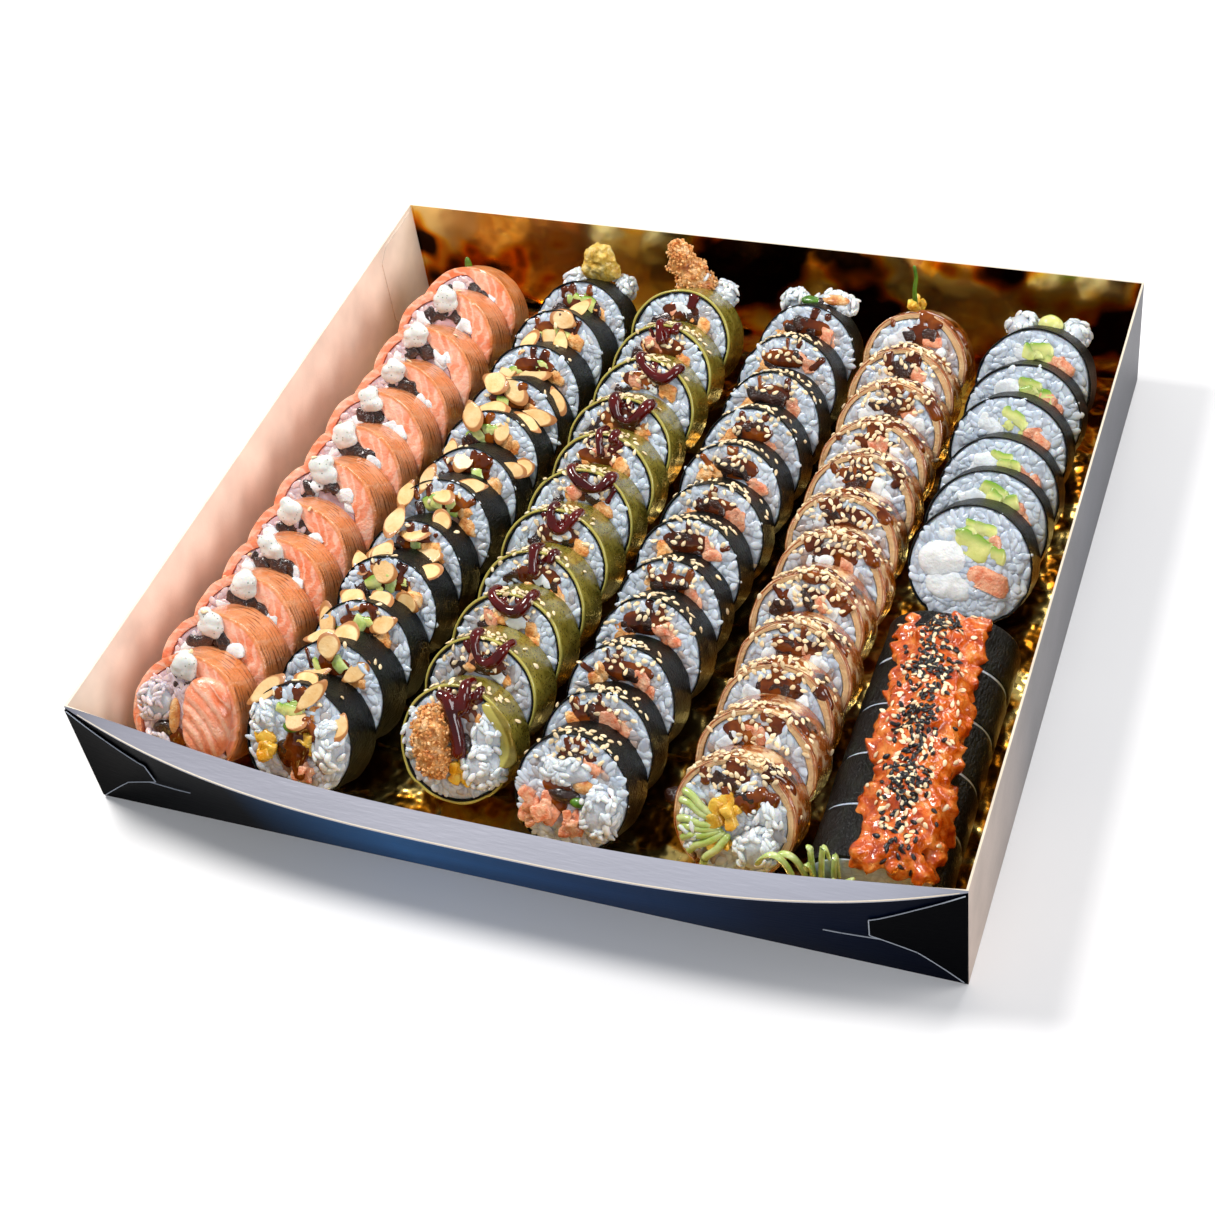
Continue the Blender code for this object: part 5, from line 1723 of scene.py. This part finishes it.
def make_tray_flaps(looks):
    """The glued corner flaps: the back wall's inside the side walls, and the gussets outside the front wall."""
    inside = []
    for side in (-1, 1):
        x = side * (TRAY_WIDTH / 2 - BOARD - 0.0004)

        def place(inward, z, x=x):
            return np.stack((np.full(len(z), x), TRAY_DEPTH / 2 - inward + SHIFT[1], z), 1)

        stations = [point / 1000 for point in (2, 30, 36)]
        inside.append(board_flap("flap", place, stations, (0.003, 0.003, 0.012), (0.048, 0.048, 0.043), 0.0008))
    outside = []
    lines = []
    for side in (-1, 1):

        def place(away, z, side=side):
            spot = front_wall(side * (TRAY_WIDTH / 2 - away), z)
            return spot + (0, -0.0002, 0)

        stations = [point / 1000 for point in (0.2, 16, 28, 30.5)]
        outside.append(board_flap("gusset", place, stations, (0.001, 0.0145, 0.0205, 0.0215),
                                  (0.0485, 0.0400, 0.0330, 0.0320), 0.0005))
        for line in GUSSET_LINES:
            for start, end in zip(line[:-1], line[1:]):
                away, height = np.linspace(start, end, 14).T / 1000
                path = place(away, height) + (0, -0.0005, 0)
                lines.append(strand("line", path, 0.00020, 20, 6))
    dress(join("tray_back_flaps", inside), looks["beige"], "board")
    dress(join("tray_front_gussets", outside), looks["black"], "board")
    # The gusset edge lines are painted highlights along the folded board.
    dress(join("tray_front_gusset_edges", lines), looks["worn"], "board")


def make_crease_line(looks):
    """The raw white edge of board that shows along the front wall's crease."""
    x = np.linspace(-0.5, 0.5, 80) * TRAY_WIDTH * 0.985
    out, height = crease_point(x)
    path = np.stack((x, -TRAY_DEPTH / 2 - out * 0.996 + 0.0004 + SHIFT[1], height + 0.0001), 1)
    line = strand("tray_crease_line", path, 0.00028, 120, 6)
    dress(line, looks["edge"], "board")


# Stage

def stage_finish():
    finish = Finish("pale floor", {"Roughness": 0.6})
    mottle = finish.mottle(0.2, 1 / 900)
    finish.to_shader(ramp(finish, mottle["Mask"], ((226, 226, 228), (230, 230, 231))), "Base Color")
    return finish.material


def soft_light(name, place, target, size, watts, colour):
    data = bpy.data.lights.new(name, "AREA")
    data.shape = "DISK"
    data.size = size
    data.energy = watts
    data.color = colour
    light = bpy.data.objects.new(name, data)
    light.location = place
    light.rotation_euler = (Vector(target) - Vector(place)).to_track_quat("-Z", "Y").to_euler()
    bpy.context.scene.collection.objects.link(light)


LIGHTS = (("key", (-0.50, 0.05, 0.95), (0, 0, 0.02), 0.32, 11.5, (1.0, 0.975, 0.94)),
          ("back", (0.25, 0.95, 0.70), (0, 0, 0.03), 0.50, 5.0, (1.0, 0.98, 0.95)),
          ("fill", (0.80, -0.65, 0.65), (0, 0, 0.02), 0.50, 4.6, (0.95, 0.97, 1.0)),
          ("side", (0.80, 0.15, 0.36), (-0.10, 0, 0.02), 0.45, 3.6, (1.0, 0.97, 0.94)))


def set_stage():
    deselect()
    bpy.ops.mesh.primitive_plane_add(size=6, location=(0, 0, -0.0002))
    floor = bpy.context.active_object
    floor.name = "floor"
    floor.data.materials.append(stage_finish())
    for light in LIGHTS:
        soft_light(*light)
    world = bpy.data.worlds.new("studio")
    world.use_nodes = True
    world.node_tree.nodes["Background"].inputs["Color"].default_value = (0.92, 0.95, 1.0, 1.0)
    world.node_tree.nodes["Background"].inputs["Strength"].default_value = 0.36
    bpy.context.scene.world = world
    bpy.context.scene.view_settings.view_transform = "Standard"
    data = bpy.data.cameras.new("photo_camera")
    data.lens = CAMERA_LENS
    data.sensor_width = SENSOR
    data.clip_start = 0.01
    camera = bpy.data.objects.new("photo_camera", data)
    camera.location = CAMERA_PLACE
    camera.rotation_euler = [math.radians(angle) for angle in CAMERA_TURN]
    bpy.context.scene.collection.objects.link(camera)
    bpy.context.scene.camera = camera


# The whole tray

def pour(row, name, runs, voxel, passes, finish):
    """Melts runs of sauce together, as one more piece of their row."""
    row.append(dress(melt(name, runs, voxel, passes), finish, "sauce"))


def make_models():
    return {"grain": grain_model(), "seed": seed_model(), "chunk": chunk_model(),
            "flakes": [flake_model(seed) for seed in (1, 2)], "crumb": crumb_model()}


def remove_models(models):
    for model in models.values():
        for item in (model if isinstance(model, list) else [model]):
            bpy.data.objects.remove(item, do_unlink=True)


def main():
    set_stage()
    finishes = make_finishes()
    models = make_models()
    looks = make_board_finishes()
    dress(make_tray_shell(looks), None, "board", "tray")
    make_tray_flaps(looks)
    make_crease_line(looks)
    slices = make_slices()
    rng = np.random.default_rng(7)
    rows = {}
    for order, name in enumerate(ROWS):
        rows[name] = build_row(name, slices[name], finishes, models, order)
    rows["salmon"].append(make_dollops(slices["salmon"], finishes))
    make_slab(slices["salmon"], finishes)

    runs = face_runs(slices["almond"], rng, 5, 0.0024, 0.32)
    runs += sauce_pool(slices["almond"][0], rng, 22, (3.4, 4.6), (1.0, 1.5), 0.0023, 0.25)
    pour(rows["almond"], "almond_glaze", runs, 0.0007, 4, finishes["glaze"])
    make_flakes(slices["almond"], Surface(rows["almond"]), models, finishes, rng)
    make_tempura(slices["almond"], finishes, rng)

    front = slices["wrapped"][0]
    loops = sauce_loops(slices["wrapped"], rng, 0.0024)
    loops.append(face_strand(front, ((-4, 20), (-2, 14), (1, 7), (3, 0), (2.5, -4)), np.full(5, 0.0028)))
    loops.append(face_strand(front, ((-8, 19), (-4, 17), (-2, 12)), np.full(3, 0.0022)))
    loops += face_runs(slices["wrapped"], rng, 3, 0.0021, 0.24)
    pour(rows["wrapped"], "wrapped_sauce", loops, 0.00065, 5, finishes["sauce"])
    make_prawns(slices["wrapped"], finishes, models, rng)
    make_strip(slices["wrapped"], finishes)
    make_stalks(slices, finishes, rng)

    runs = face_runs(slices["sesame"], rng, 3, 0.0022, 0.34)
    runs += sauce_pool(slices["sesame"][0], rng, 6, (5.0, 2.5), (-3.0, 3.0), 0.0014)
    pour(rows["sesame"], "sesame_glaze", runs, 0.0007, 4, finishes["glaze"])

    runs = face_runs(slices["seared"], rng, 5, 0.0025, 0.42) + rim_runs(slices["seared"], rng, 3, 0.0026)
    runs += sauce_pool(slices["seared"][0], rng, 10, (3.5, 2.0), (9.0, 11.0), 0.0019)
    runs += sauce_pool(slices["seared"][0], rng, 4, (3.0, 1.5), (-4.0, 13.0), 0.0015)
    pour(rows["seared"], "seared_glaze", runs, 0.0007, 4, finishes["glaze"])

    for name, (count, width) in SEEDS.items():
        starts = top_spots(slices[name], rng, count, width)
        dry = Surface([piece for piece in rows[name] if "sauce" not in piece.name])
        sprinkle(f"{name}_sesame_seeds", models, dry, starts, rng, finishes["sesame_seed"], "sesame_seed", SEED_GAP)

    roll = make_long_roll(finishes)
    make_tartare(roll, finishes, models, rng)
    make_cucumber(finishes, rng)
    remove_models(models)


main()
